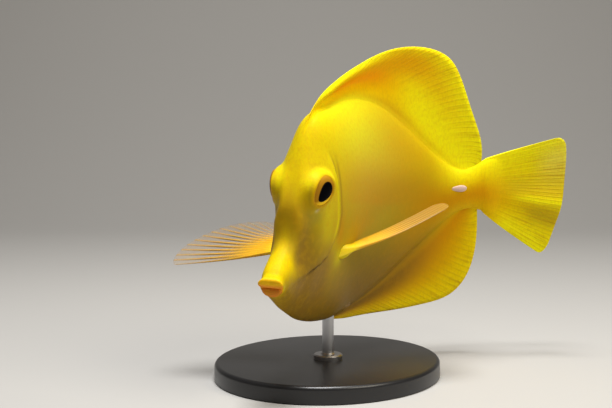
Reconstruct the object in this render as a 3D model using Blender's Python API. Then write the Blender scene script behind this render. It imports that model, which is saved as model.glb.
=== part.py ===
"""A life-size yellow tang, swimming with its tail swept to its left, on a plain display stand.

The fish is worked out straight first, in shares of its standard length: x to its left, y back from the
mouth and z up. Then its spine is bent to the left, and the whole fish is pitched and rolled on the stand.
"""

import math

import bmesh
import bpy
import numpy as np
from mathutils import Matrix, Vector

# Driving dimensions, in metres and degrees
MM = 0.001
STANDARD_LENGTH = 120 * MM
GAP = 0.3 * MM
SPINE_TURN = math.radians(61.6)
TURN_FROM, TURN_TO = 0.44, 0.99
HEAD_TURN, HEAD_FROM = math.radians(14), 0.25
NOSE_DOWN = math.radians(10.9)
ROLL_LEFT = math.radians(6.6)
BASE_LENGTH, BASE_WIDTH, BASE_THICK, BASE_EDGE = 84 * MM, 76 * MM, 6 * MM, 1.4 * MM
ROD_RADIUS, ROD_FOOT_RADIUS, ROD_FOOT_THICK, ROD_FOOT_EDGE = 2 * MM, 5 * MM, 1.6 * MM, 0.8 * MM
BELLY_HEIGHT, ROD_IN_BELLY = 14.5 * MM, 12 * MM
ROD_AT = 0.405
SMOOTH_ANGLE = math.radians(40)

# Stations from the lips to the tail base, evenly spaced along t from 0 to 1, in shares of the standard
# length: back edge (y, z), belly edge (y, z), half width, bow of the section line towards the tail,
# lens power above and below the widest level, and that level from -1 at the belly to 1 at the back
STATIONS = {
    "lips": (0.000, 0.014, 0.014, -0.042, 0.033, 0.000, 0.50, 0.85, 0.00),
    "snout": (0.050, 0.038, 0.050, -0.070, 0.034, 0.004, 0.75, 1.00, 0.00),
    "bridge": (0.110, 0.078, 0.087, -0.104, 0.042, 0.012, 0.75, 1.05, 0.10),
    "cheek": (0.128, 0.152, 0.122, -0.130, 0.055, 0.032, 0.70, 1.15, 0.25),
    "eye": (0.170, 0.236, 0.156, -0.154, 0.070, 0.044, 0.75, 1.20, 0.30),
    "gill": (0.248, 0.328, 0.206, -0.184, 0.076, 0.058, 1.15, 1.20, 0.25),
    "shoulder": (0.335, 0.366, 0.285, -0.219, 0.078, 0.038, 1.30, 1.20, 0.15),
    "breast": (0.430, 0.378, 0.375, -0.244, 0.078, 0.018, 1.35, 1.25, 0.10),
    "middle": (0.540, 0.366, 0.490, -0.254, 0.074, 0.005, 1.35, 1.30, 0.05),
    "rear": (0.650, 0.322, 0.615, -0.232, 0.064, 0.000, 1.35, 1.30, 0.00),
    "hind": (0.760, 0.236, 0.740, -0.160, 0.050, 0.000, 1.30, 1.25, 0.00),
    "taper": (0.860, 0.148, 0.855, -0.072, 0.036, 0.000, 1.20, 1.20, 0.00),
    "peduncle": (0.935, 0.110, 0.932, -0.018, 0.028, 0.000, 1.10, 1.10, 0.00),
    "tail base": (1.000, 0.140, 1.000, -0.021, 0.020, 0.000, 1.00, 1.00, 0.00),
}
STATION_TABLE = np.array(list(STATIONS.values()))
LAST = len(STATIONS) - 1
RIDGE = 0.3 * MM / STANDARD_LENGTH

# Eyes, nostrils, lips and tail spines, in shares of the standard length. The head swells into a ball
# about each orbit, and the eye lies in it a little way out from the ball's centre.
ORBIT = np.array((0.0335, 0.2000, 0.1890))
ORBIT_RADIUS, ORBIT_BLEND = 0.050, 0.03
EYE_FORWARD, EYE_UP = math.radians(13), math.radians(-4)
EYE_RADIUS, EYE_DEPTH, EYE_LIFT = 0.038, 0.016, 0.031
EYE_OPENING = 0.036
LID_RADIUS, LID_THICK, LID_LIFT = 0.0400, 0.0062, 0.001
LIP_FORWARD, LIP_PARTING, LIP_SWELL, LIP_HOLLOW = 0.015, 0.0022, 0.10, 0.28
UPPER_LIP_HIGH, LOWER_LIP_HIGH = 0.94, 0.90
NOSTRILS = ((0.163, 0.150, 0.0052), (0.174, 0.163, 0.0040))
NOSTRIL_FORWARD, NOSTRIL_DEEP = 0.4, 1.2
SPINE_FROM, SPINE_TO, SPINE_LEVEL = 0.945, 0.892, 0.058
SPINE_HEIGHT, SPINE_THICK = 0.020, 0.009

# Fins: half thickness at the root and the edge, how fast they thin, the rays' rise above the membrane,
# and the foot of a ray from its crest as a share of the way to the next
ROOT_HALF, EDGE_HALF, THINNING, RAY_RISE = 0.9 * MM, 0.26 * MM, 2.2, 0.17 * MM
RAY_SIDE = 0.24
DORSAL_RAYS, ANAL_RAYS, TAIL_RAYS, PECTORAL_RAYS, PELVIC_RAYS = 28, 22, 17, 15, 6
DORSAL_EDGE = (
    (0.262, 0.352), (0.340, 0.414), (0.440, 0.446), (0.550, 0.468), (0.660, 0.487), (0.770, 0.490),
    (0.865, 0.460), (0.915, 0.390), (0.948, 0.290), (0.978, 0.205), (0.985, 0.152),
)
ANAL_EDGE = (
    (0.470, -0.276), (0.560, -0.302), (0.660, -0.318), (0.760, -0.326), (0.855, -0.318),
    (0.935, -0.278), (0.972, -0.205), (0.984, -0.130), (0.986, -0.080), (0.984, -0.036),
)
TAIL_TOP, TAIL_MIDDLE, TAIL_FOOT = (1.240, 0.214), (1.256, 0.048), (1.200, -0.162)
TAIL_CORNER, TAIL_CORNER_WIDE, TAIL_FLESH = 0.11, 0.11, 0.35

# Paired fins: where each root lies on the straight body, how far it is sunk and how wide it is; the
# longest ray, and how the rays shorten; and for each blade its long and cross directions, its arch, its
# shortest ray and the turn from its first ray to its last
PECTORAL_ROOT, PECTORAL_SUNK, PECTORAL_WIDE = (0.325, -0.020), 0.012, 0.046
PECTORAL_LENGTH, SHORTENING, TIP_ROUND, TIP_WIDE = 0.36, 1.25, 0.04, 0.10
PECTORAL_BLADES = {
    "pectoral_fin_left": ((0.680, 0.660, 0.320), (-0.438, 0.863, -0.165), -0.02, 0.27, math.radians(24)),
    "pectoral_fin_right": ((-0.925, -0.319, -0.208), (-0.450, 0.860, 0.200), 0.02, 0.12, math.radians(56)),
}
PELVIC_ROOT, PELVIC_APART, PELVIC_WIDE = (0.315, -0.208), 0.016, 0.012
PELVIC_LENGTH, PELVIC_SHORT, PELVIC_FAN = 0.175, 0.12, math.radians(13)
PELVIC_ALONG, PELVIC_SPREAD = (0.20, 0.93, -0.30), (0.1, 0.5, 1)

# Grids: sections by points round each side, or turns by rings
HEAD_GRID, TRUNK_GRID, TAIL_BASE_GRID, CUTTER_GRID = (27, 25), (24, 17), (9, 17), (40, 31)
LID_GRID, EYE_GRID, PIT_GRID, BLADE_GRID, LIP_GRID = (22, 6), (16, 8), (8, 4), (12, 8), (6, 15)
DORSAL_STEPS, ANAL_STEPS, TAIL_STEPS, FAN_STEPS = 7, 6, 7, 6
SEARCH_STEPS, ROD_SIDES, BASE_SIDES = 240, 20, 48
CUTTER_MORE = 0.03


def station(name):
    """The place of a station along t."""
    return list(STATIONS).index(name) / LAST


# Where the body is parted, and where the fins grow, along t
HEAD_END = station("gill")
TRUNK_END = station("taper")
DORSAL_FROM, DORSAL_TO = station("gill") + 0.006, 0.93
ANAL_FROM, ANAL_TO = station("middle") - 0.012, 0.93


def clear_scene():
    for obj in list(bpy.data.objects):
        bpy.data.objects.remove(obj)


def spline(values, at):
    """Natural cubic spline through evenly spaced values, read at places from 0 to 1."""
    values = np.asarray(values, float)
    n = len(values)
    system = np.eye(n)
    rise = np.zeros_like(values)
    for i in range(1, n - 1):
        system[i, i - 1 : i + 2] = (1, 4, 1)
        rise[i] = 6 * (values[i - 1] - 2 * values[i] + values[i + 1])
    bends = np.linalg.solve(system, rise)
    place = np.clip(np.asarray(at, float), 0, 1) * (n - 1)
    low = np.minimum(place.astype(int), n - 2)
    b = place - low
    a = 1 - b
    if values.ndim > 1:
        a, b = a[..., None], b[..., None]
    curve = (a**3 - a) * bends[low] + (b**3 - b) * bends[low + 1]
    return a * values[low] + b * values[low + 1] + curve / 6


def ramp(x, low, high):
    """0 below low, 1 above high, smooth between."""
    s = np.clip((x - low) / (high - low), 0, 1)
    return s * s * (3 - 2 * s)


def hump(x, centre, wide):
    """1 at the centre, falling off as a bell."""
    return np.exp(-(((x - centre) / wide) ** 2))


def back_edge(t):
    return spline(STATION_TABLE, t)[..., 0:2]


def belly_edge(t):
    return spline(STATION_TABLE, t)[..., 2:4]


def root_width(t):
    """Half width of the body's edge, which is flat where a fin grows from it: (back, belly)."""
    fin = ROOT_HALF / STANDARD_LENGTH - RIDGE
    back = ramp(t, DORSAL_FROM - 0.05, DORSAL_FROM + 0.02) * (1 - ramp(t, DORSAL_TO, DORSAL_TO + 0.04))
    belly = ramp(t, ANAL_FROM - 0.08, ANAL_FROM) * (1 - ramp(t, ANAL_TO, ANAL_TO + 0.04))
    return RIDGE + fin * back, RIDGE + fin * belly


def body_surface(t, phi, grow=0.0):
    """The left side of the straight body at section t and angle phi, from the belly at -90 degrees to the
    back at 90: along the section line by the sine of phi, and out from it by a power of the cosine."""
    values = np.moveaxis(spline(STATION_TABLE, t), -1, 0)
    back_y, back_z, belly_y, belly_z, half, bow, up, down, level = values
    sine, cosine = np.sin(phi), np.clip(np.cos(phi), 0, 1)
    along = level + np.where(sine > 0, 1 - level, 1 + level) * sine
    y = belly_y + (back_y - belly_y) * (along + 1) / 2 + bow * (1 - along**2)
    z = belly_z + (back_z - belly_z) * (along + 1) / 2
    back_half, belly_half = root_width(t)
    edge = np.where(sine > 0, back_half, belly_half)
    x = edge + (half - edge) * cosine ** np.where(sine > 0, up, down)
    side = swollen(np.stack(np.broadcast_arrays(x, y, z), -1))
    out = np.broadcast_arrays(cosine, sine * (back_y - belly_y), sine)
    return side + grow * np.stack(out, -1)


def swollen(side):
    """The left side of the body with the ball of the orbit: the distance r of a point from the ball's
    centre becomes the sixth root of r^6 + R^6, and less near the middle plane."""
    off = side - ORBIT
    r = np.linalg.norm(off, axis=-1)
    grown = (r**6 + ORBIT_RADIUS**6) ** (1 / 6) / r
    share = ramp(side[..., 0], 0.0, ORBIT_BLEND)
    return ORBIT + off * (1 + (grown - 1) * share)[..., None]


def bent(points):
    """Straight points, in shares, to metres, with the spine turned evenly to the left from TURN_FROM to
    TURN_TO and the head turned a little to the left before HEAD_FROM."""
    x, y, z = np.moveaxis(np.asarray(points, float), -1, 0)
    rate = SPINE_TURN / (TURN_TO - TURN_FROM)
    tail = rate * (np.clip(y, TURN_FROM, TURN_TO) - TURN_FROM)
    after = np.maximum(y - TURN_TO, 0)
    line_x = (1 - np.cos(tail)) / rate + after * np.sin(tail)
    line_y = TURN_FROM + np.sin(tail) / rate + after * np.cos(tail) + np.minimum(y - TURN_FROM, 0)
    head_rate = HEAD_TURN / HEAD_FROM
    before = np.maximum(HEAD_FROM - y, 0)
    head = head_rate * before
    line_x = line_x + (1 - np.cos(head)) / head_rate
    line_y = line_y + before - np.sin(head) / head_rate
    turn = tail - head
    return STANDARD_LENGTH * np.stack([line_x + x * np.cos(turn), line_y - x * np.sin(turn), z], -1)


def link_mesh(name, mesh, colour, parent):
    mesh.materials.append(colour)
    obj = bpy.data.objects.new(name, mesh)
    bpy.context.scene.collection.objects.link(obj)
    obj.parent = parent
    return obj


def add_object(name, points, faces, colour, parent=None):
    mesh = bpy.data.meshes.new(name)
    mesh.from_pydata(np.asarray(points).tolist(), [], np.asarray(faces).tolist())
    work = bmesh.new()
    work.from_mesh(mesh)
    bmesh.ops.remove_doubles(work, verts=work.verts, dist=1e-7)
    bmesh.ops.recalc_face_normals(work, faces=work.faces)
    work.to_mesh(mesh)
    work.free()
    mesh.shade_smooth()
    mesh.set_sharp_from_angle(angle=SMOOTH_ANGLE)
    return link_mesh(name, mesh, colour, parent)


def paired_triangles(rows, columns, first):
    """Two triangles for each cell of a grid of points, all cut along the same diagonal."""
    i, j = np.meshgrid(np.arange(rows - 1), np.arange(columns - 1), indexing="ij")
    a = (first + i * columns + j).ravel()
    b, c, d = a + 1, a + columns + 1, a + columns
    return np.concatenate([np.stack([a, b, c], 1), np.stack([a, c, d], 1)])


def two_faced(name, left, right, colour, parent):
    """A closed solid between two grids of points alike, with a wall round their border."""
    rows, columns = left.shape[:2]
    count = rows * columns
    points = np.concatenate([left.reshape(-1, 3), right.reshape(-1, 3)])
    faces = [paired_triangles(rows, columns, 0), paired_triangles(rows, columns, count)[:, ::-1]]
    index = np.arange(count).reshape(rows, columns)
    border = np.concatenate([index[0, :-1], index[:-1, -1], index[-1, :0:-1], index[:0:-1, 0]])
    following = np.roll(border, -1)
    faces.append(np.stack([following, border, border + count], 1))
    faces.append(np.stack([following, border + count, following + count], 1))
    return add_object(name, points, np.concatenate(faces), colour, parent)


def section_grid(starts, ends, grid):
    """Places along t and angles round the left side, as a column and a row."""
    t = np.linspace(starts, ends, grid[0])[:, None]
    phi = np.linspace(-math.pi / 2, math.pi / 2, grid[1])[None, :]
    return t, phi


def body_piece(name, starts, ends, grid, colour, parent):
    """A length of the body between sections starts and ends, closed by a wall across each end. Its first
    section stands back by the gap."""
    side = body_surface(*section_grid(starts, ends, grid))
    if starts > 0:
        side[0, :, 1] += GAP / STANDARD_LENGTH
    return two_faced(name, bent(side), bent(side * (-1, 1, 1)), colour, parent)


def replace_mesh(obj):
    """Applies the modifiers of an object."""
    graph = bpy.context.evaluated_depsgraph_get()
    made = bpy.data.meshes.new_from_object(obj.evaluated_get(graph))
    obj.modifiers.clear()
    obj.data = made
    made.shade_smooth()
    made.set_sharp_from_angle(angle=SMOOTH_ANGLE)


def combine(obj, others, operation):
    """One Boolean of an object with others, applied, with the others then removed."""
    group = bpy.data.collections.new("tools for " + obj.name)
    bpy.context.scene.collection.children.link(group)
    for other in others:
        for holder in list(other.users_collection):
            holder.objects.unlink(other)
        group.objects.link(other)
    modifier = obj.modifiers.new(operation.lower(), "BOOLEAN")
    modifier.operation = operation
    modifier.operand_type = "COLLECTION"
    modifier.collection = group
    bpy.context.view_layer.update()
    replace_mesh(obj)
    for other in others:
        bpy.data.objects.remove(other)
    bpy.data.collections.remove(group)
    keep_largest(obj)


def keep_largest(obj):
    """Leaves an object only its largest closed surface."""
    work = bmesh.new()
    work.from_mesh(obj.data)
    bmesh.ops.remove_doubles(work, verts=work.verts, dist=1e-6)
    work.faces.ensure_lookup_table()
    unseen, shells = set(work.faces), []
    while unseen:
        edge = [unseen.pop()]
        shell = set(edge)
        while edge:
            for side in edge.pop().edges:
                fresh = [f for f in side.link_faces if f in unseen]
                unseen.difference_update(fresh)
                shell.update(fresh)
                edge.extend(fresh)
        shells.append(shell)
    shells.sort(key=lambda s: sum(f.calc_area() for f in s))
    for shell in shells[:-1]:
        bmesh.ops.delete(work, geom=list(shell), context="FACES")
    bmesh.ops.triangulate(work, faces=work.faces)
    work.to_mesh(obj.data)
    work.free()


def new_material(name, colour, roughness, metallic=0.0):
    made = bpy.data.materials.new(name)
    made.use_nodes = True
    shader = made.node_tree.nodes["Principled BSDF"]
    shader.inputs["Base Color"].default_value = (*colour, 1)
    shader.inputs["Roughness"].default_value = roughness
    shader.inputs["Metallic"].default_value = metallic
    made.diffuse_color = (*colour, 1)
    return made


def frame_at(centre, outward, upward):
    """A matrix whose Z looks outward and whose Y is as near upward as it can be."""
    z = Vector(outward).normalized()
    x = Vector(upward).cross(z).normalized()
    y = z.cross(x)
    made = Matrix((x, y, z)).transposed().to_4x4()
    made.translation = Vector(centre)
    return made


def ball(name, frame, radius, depth, grid, colour, parent, in_head=True):
    """A ball flattened along its frame's Z. In the head its frame is the straight fish's, and the ball is
    bent with the fish."""
    work = bmesh.new()
    bmesh.ops.create_uvsphere(work, u_segments=grid[0], v_segments=grid[1], radius=1)
    bmesh.ops.scale(work, vec=(radius, radius, depth), verts=work.verts)
    bmesh.ops.transform(work, matrix=frame, verts=work.verts)
    mesh = bpy.data.meshes.new(name)
    work.to_mesh(mesh)
    work.free()
    if in_head:
        straight = np.empty(len(mesh.vertices) * 3)
        mesh.vertices.foreach_get("co", straight)
        mesh.vertices.foreach_set("co", bent(straight.reshape(-1, 3) / STANDARD_LENGTH).ravel())
    mesh.shade_smooth()
    return link_mesh(name, mesh, colour, parent)


def ring(name, frame, radius, half, grid, colour, parent):
    """A round ring about its frame's Z, bent with the fish."""
    around, across = grid
    a = np.linspace(0, 2 * math.pi, around, endpoint=False)[:, None]
    b = np.linspace(0, 2 * math.pi, across, endpoint=False)[None, :]
    reach = radius + half * np.cos(b)
    local = np.broadcast_arrays(reach * np.cos(a), reach * np.sin(a), half * np.sin(b), 1.0)
    straight = (np.stack(local, -1).reshape(-1, 4) @ np.array(frame).T)[:, :3]
    i, j = np.meshgrid(np.arange(around), np.arange(across), indexing="ij")
    k, m = (i + 1) % around, (j + 1) % across
    corners = (i * across + j, k * across + j, k * across + m, i * across + m)
    faces = np.stack(corners, -1).reshape(-1, 4)
    return add_object(name, bent(straight / STANDARD_LENGTH), faces, colour, parent)


def surface_x(y, z):
    """The body's half width at a straight place (y, z), found along the sections."""
    found = body_surface(*section_grid(0, station("shoulder"), (SEARCH_STEPS, SEARCH_STEPS)))
    nearest = np.argmin((found[..., 1] - y) ** 2 + (found[..., 2] - z) ** 2)
    return found.reshape(-1, 3)[nearest, 0]


def eye_frame(side):
    """Where an eye sits in its orbit, on the straight fish."""
    outward = Vector((1, -math.tan(EYE_FORWARD), math.tan(EYE_UP))).normalized()
    place = Vector(ORBIT) + EYE_LIFT * outward
    flip = Vector((side, 1, 1))
    return frame_at(place * flip * STANDARD_LENGTH, outward * flip, (0, 0, 1))


def make_head(skin, fish):
    """The head as far as the gill opening, with lids, eye sockets and nostrils."""
    head = body_piece("head", 0.0, HEAD_END, HEAD_GRID, skin, fish)
    size = STANDARD_LENGTH
    lids, cutters = [], []
    for side in (1, -1):
        frame = eye_frame(side)
        lifted = frame @ Matrix.Translation((0, 0, LID_LIFT * size))
        lids.append(ring("lid", lifted, LID_RADIUS * size, LID_THICK * size, LID_GRID, skin, fish))
        socket = (EYE_RADIUS * size + GAP, EYE_DEPTH * size + GAP)
        cutters.append(ball("socket", frame, *socket, EYE_GRID, skin, fish))
        front = frame @ Matrix.Translation((0, 0, EYE_DEPTH * size))
        cutters.append(ball("opening", front, EYE_OPENING * size, EYE_DEPTH * size, EYE_GRID, skin, fish))
        for y, z, radius in NOSTRILS:
            place = Vector((side * surface_x(y, z), y, z)) * size
            pit = frame_at(place, (side, -NOSTRIL_FORWARD, 0), (0, 0, 1))
            deep = radius * NOSTRIL_DEEP * size
            cutters.append(ball("pit", pit, radius * size, deep, PIT_GRID, skin, fish))
    combine(head, lids, "UNION")
    combine(head, cutters, "DIFFERENCE")
    return head


def make_eyes(black, fish):
    for name, side in (("eye_left", 1), ("eye_right", -1)):
        size = STANDARD_LENGTH
        ball(name, eye_frame(side), EYE_RADIUS * size, EYE_DEPTH * size, EYE_GRID, black, fish)


def lip_face(above, across, swell, middle, up):
    """Points of a lip that stand a swell before the snout's end, across and above its middle."""
    forward = np.array([-up[1], up[0]])
    ahead = GAP / STANDARD_LENGTH + swell
    y = middle[0] + above * up[0] + ahead * forward[0]
    z = middle[1] + above * up[1] + ahead * forward[1]
    return bent(np.stack([across, y, z], -1))


def make_lips(lip, fish):
    """Two lips before the snout: each is half of a round cushion, parted along the line of the mouth."""
    back, belly = back_edge(0.0), belly_edge(0.0)
    middle = (back + belly) / 2
    high = np.linalg.norm(back - belly) / 2
    up = (back - belly) / (2 * high)
    wide = STATIONS["lips"][4]
    r = np.linspace(0, 1, LIP_GRID[0])[:, None]
    a = np.linspace(0, math.pi, LIP_GRID[1])[None, :]
    bulge = np.sin(math.pi * r)
    reach = r * (1 + LIP_SWELL * bulge)
    swell = LIP_FORWARD * np.sqrt(1 - r**4) * (1 - LIP_HOLLOW * (1 - bulge)) + 0 * a
    for name, way, share in (("lip_upper", 1, UPPER_LIP_HIGH), ("lip_lower", -1, LOWER_LIP_HIGH)):
        across = wide * reach * np.cos(a)
        above = way * (LIP_PARTING / 2 + high * share * reach * np.sin(a))
        front = lip_face(above, across, swell, middle, up)
        rear = lip_face(above, across, 0 * swell, middle, up)
        two_faced(name, front, rear, lip, fish)


def ray_columns(rays):
    """Places across a fin, three to a ray: its crest and the foot of each side; and how high each stands."""
    crest = np.arange(rays)[:, None] + np.array([-RAY_SIDE, 0, RAY_SIDE])[None, :]
    height = np.tile([0.0, 1.0, 0.0], rays)
    place = crest.ravel()[1:-1]
    return place / (rays - 1), height[1:-1]


def membrane_half(v):
    """Half thickness of a fin's membrane, in metres, from its root at 0 to its edge at 1."""
    return EDGE_HALF + (ROOT_HALF - EDGE_HALF) * (1 - v) ** THINNING


def fin_sheet(root, edge, v, crest, lean):
    """The two faces of a fin in the middle plane: straight rays from root to edge, both (n, 2) as (y, z),
    with a ridge on each ray. lean moves a point sideways."""
    v = v[None, :]
    middle = root[:, None, :] + (edge - root)[:, None, :] * v[..., None]
    ridge = RAY_RISE * crest[:, None] * np.sin(math.pi * (v * 0.94 + 0.06)) ** 0.6 * ramp(v, 0.0, 0.2)
    half = (membrane_half(v) + ridge) / STANDARD_LENGTH
    sideways = lean(middle[..., 0], v)
    left = np.stack([sideways + half, middle[..., 0], middle[..., 1]], -1)
    right = np.stack([sideways - half, middle[..., 0], middle[..., 1]], -1)
    return left, right


def edge_fin(name, rays, span, side_edge, outline, outward, steps, lean, colour, parent):
    """The dorsal or anal fin: its root follows the body's edge a gap above it, over a span of t."""
    place, crest = ray_columns(rays)
    root = side_edge(span[0] + (span[1] - span[0]) * place)
    slope = np.gradient(root, axis=0)
    normal = np.stack([-slope[:, 1], slope[:, 0]], 1) / np.linalg.norm(slope, axis=1)[:, None]
    root = root + outward * normal * GAP / STANDARD_LENGTH
    left, right = fin_sheet(root, spline(outline, place), np.linspace(0, 1, steps), crest, lean)
    return two_faced(name, bent(left), bent(right), colour, parent)


def no_lean(y, v):
    return 0 * y * v


def dorsal_lean(y, v):
    """The fin's front half folds to the right above its root, then back to the left below its edge."""
    fold = -0.010 * hump(v, 0.30, 0.22) + 0.008 * hump(v, 0.74, 0.20)
    return fold * ramp(v, 0.0, 0.2) * ramp(y, 0.27, 0.38) * (1 - ramp(y, 0.52, 0.75))


def tail_outline(s):
    """The tail's hind edge from its top corner at s 0 to its lower corner at 1, as one quadratic curve."""
    top, middle, foot = (np.array(p) for p in (TAIL_TOP, TAIL_MIDDLE, TAIL_FOOT))
    control = 2 * middle - (top + foot) / 2
    s = s[:, None]
    return (1 - s) ** 2 * top + 2 * s * (1 - s) * control + s**2 * foot


def make_tail_fin(colour, parent):
    """The tail: its hind edge is drawn in towards the root near both ends, so that its corners are round,
    and the flesh of the tail base runs out over the first part of its rays."""
    place, crest = ray_columns(TAIL_RAYS)
    root_top, root_foot = back_edge(1.0), belly_edge(1.0)
    root = root_top + (root_foot - root_top) * place[:, None]
    root[:, 0] += GAP / STANDARD_LENGTH
    near = np.clip(1 - np.minimum(place, 1 - place) / TAIL_CORNER_WIDE, 0, 1)
    reach = 1 - TAIL_CORNER * (1 - np.sqrt(1 - near**2))
    edge = root + (tail_outline(place) - root) * reach[:, None]
    v = np.linspace(0, 1, TAIL_STEPS)
    left, right = fin_sheet(root, edge, v, crest, no_lean)
    flesh = STATIONS["tail base"][4] * np.sqrt(1 - (2 * place - 1) ** 2)
    fade = 1 - ramp(v, 0, TAIL_FLESH)
    extra = np.maximum(flesh[:, None] * fade - ROOT_HALF / STANDARD_LENGTH, 0)
    left[..., 0] += extra
    right[..., 0] -= extra
    return two_faced("tail_fin", bent(left), bent(right), colour, parent)


def fan_fin(name, root_at, blade, rays, longest, root_wide, colour, parent):
    """A paired fin: rays fan from a short root in the plane of along and spread, all in straight metres,
    each a little shorter than the one before. The rays arch out of that plane, most in their middle."""
    along, spread, bow, shortest, fan = blade
    place, crest = (column[:, None] for column in ray_columns(rays))
    along, spread = (Vector(d).normalized() for d in (along, spread))
    spread = (spread - along * spread.dot(along)).normalized()
    normal = np.array(along.cross(spread))
    v = np.linspace(0, 1, FAN_STEPS)[None, :]
    near = np.clip(1 - place / TIP_WIDE, 0, 1)
    length = longest + (shortest - longest) * place**SHORTENING
    length = length * (1 - TIP_ROUND * (1 - np.sqrt(1 - near**2)))
    turn = fan * place * ramp(v, 0, 0.3)
    u = length * v * np.cos(turn)
    w = root_wide * place + length * v * np.sin(turn)
    out = bow * longest * np.sin(math.pi * v) * (1 - 0.5 * place)
    half = membrane_half(v) + RAY_RISE * crest * ramp(v, 0.0, 0.2) * (1 - ramp(v, 0.9, 1.0))
    middle = np.array(root_at) + u[..., None] * np.array(along) + w[..., None] * np.array(spread)
    top, under = (middle + (out + way * half)[..., None] * normal for way in (1, -1))
    return two_faced(name, top, under, colour, parent)


def trunk_cutter(skin, fish):
    """The trunk a gap larger all round, for cutting what meets it."""
    places = section_grid(HEAD_END - CUTTER_MORE, station("hind"), CUTTER_GRID)
    side = body_surface(*places, grow=GAP / STANDARD_LENGTH)
    return two_faced("trunk cutter", bent(side), bent(side * (-1, 1, 1)), skin, fish)


def make_paired_fins(membrane, fish, skin):
    size = STANDARD_LENGTH
    for name, (along, spread, bow, short, fan) in PECTORAL_BLADES.items():
        side = 1 if name.endswith("left") else -1
        y, z = PECTORAL_ROOT
        root = np.array([side * (surface_x(y, z) - PECTORAL_SUNK), y - PECTORAL_SUNK, z]) * size
        blade = along, spread, bow, short * size, fan
        length, wide = PECTORAL_LENGTH * size, PECTORAL_WIDE * size
        fin = fan_fin(name, root, blade, PECTORAL_RAYS, length, wide, membrane, fish)
        combine(fin, [trunk_cutter(skin, fish)], "DIFFERENCE")
    for name, side in (("pelvic_fin_left", 1), ("pelvic_fin_right", -1)):
        root = np.array([side * PELVIC_APART, *PELVIC_ROOT]) * size
        out = np.array((side, 1, 1))
        blade = out * PELVIC_ALONG, out * PELVIC_SPREAD, 0.0, PELVIC_SHORT * size, PELVIC_FAN
        length, wide = PELVIC_LENGTH * size, PELVIC_WIDE * size
        fin = fan_fin(name, root, blade, PELVIC_RAYS, length, wide, membrane, fish)
        combine(fin, [trunk_cutter(skin, fish)], "DIFFERENCE")


def make_tail_spines(bone, tail_base, fish):
    """The white blade on each side of the tail's root, folded forward into its groove."""
    size = STANDARD_LENGTH
    middle = (SPINE_FROM + SPINE_TO) / 2
    t = np.interp(middle, STATION_TABLE[:, 0], np.linspace(0, 1, LAST + 1))
    out = body_surface(np.array(t), np.array(0.0))[0]
    grooves = []
    for name, side in (("tail_spine_left", 1), ("tail_spine_right", -1)):
        heel, tip = (bent(np.array((side * out, y, SPINE_LEVEL))) for y in (SPINE_FROM, SPINE_TO))
        outward = np.cross(heel - tip, (0, 0, 1)) * side
        frame = frame_at((heel + tip) / 2, outward, (0, 0, 1))
        half = np.linalg.norm(heel - tip) / 2
        for grow, label in ((0.0, name), (GAP, "groove")):
            wide, thick = SPINE_HEIGHT * size / 2 + grow, SPINE_THICK * size / 2 + grow
            stretch = Matrix.Diagonal((half + grow, wide, thick, 1))
            blade = ball(label, frame @ stretch, 1, 1, BLADE_GRID, bone, fish, in_head=False)
            if grow:
                grooves.append(blade)
    combine(tail_base, grooves, "DIFFERENCE")


def make_base(black):
    """A flat oval plate with a rounded edge."""
    work = bmesh.new()
    bmesh.ops.create_cone(work, cap_ends=True, segments=BASE_SIDES, radius1=0.5, radius2=0.5, depth=1)
    bmesh.ops.scale(work, vec=(BASE_WIDTH, BASE_LENGTH, BASE_THICK), verts=work.verts)
    bmesh.ops.translate(work, vec=(0, 0, BASE_THICK / 2), verts=work.verts)
    mesh = bpy.data.meshes.new("stand_base")
    work.to_mesh(mesh)
    work.free()
    edge = link_mesh("stand_base", mesh, black, None).modifiers.new("edge", "BEVEL")
    edge.width = BASE_EDGE
    edge.segments = 2
    edge.limit_method = "ANGLE"
    edge.angle_limit = math.radians(60)


def make_rod(steel, fish, skin):
    """One rod from its foot on the base up to the belly, its top cut to the belly's shape."""
    start, foot = BASE_THICK + GAP, BASE_THICK + GAP + ROD_FOOT_THICK
    top = BASE_THICK + BELLY_HEIGHT + ROD_IN_BELLY
    outline = ((0, start), (ROD_FOOT_RADIUS, start), (ROD_FOOT_RADIUS, foot - ROD_FOOT_EDGE),
               (ROD_FOOT_RADIUS - ROD_FOOT_EDGE, foot), (ROD_RADIUS, foot), (ROD_RADIUS, top), (0, top))
    radius, z = np.array(outline).T[..., None]
    turn = np.linspace(0, 2 * math.pi, ROD_SIDES, endpoint=False)[None, :]
    rings = np.stack([radius * np.cos(turn), radius * np.sin(turn), z + 0 * turn], -1)
    i, j = np.meshgrid(np.arange(len(outline) - 1), np.arange(ROD_SIDES), indexing="ij")
    here, after = i * ROD_SIDES + j, i * ROD_SIDES + (j + 1) % ROD_SIDES
    faces = np.stack([here, after, after + ROD_SIDES, here + ROD_SIDES], -1).reshape(-1, 4)
    rod = add_object("stand_rod", rings.reshape(-1, 3), faces, steel)
    combine(rod, [trunk_cutter(skin, fish)], "DIFFERENCE")


def make_fish():
    """An empty at the fish's place on the stand: nose down, rolled to its left, its belly on the rod."""
    fish = bpy.data.objects.new("fish", None)
    bpy.context.scene.collection.objects.link(fish)
    pose = Matrix.Rotation(NOSE_DOWN, 4, "X") @ Matrix.Rotation(ROLL_LEFT, 4, "Y")
    t = np.interp(ROD_AT, STATION_TABLE[:, 2], np.linspace(0, 1, LAST + 1))
    y, z = belly_edge(t)
    belly = Vector(bent(np.array((0, y, z))))
    pose.translation = Vector((0, 0, BASE_THICK + BELLY_HEIGHT)) - pose @ belly
    fish.matrix_world = pose
    bpy.context.view_layer.update()
    return fish


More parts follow.
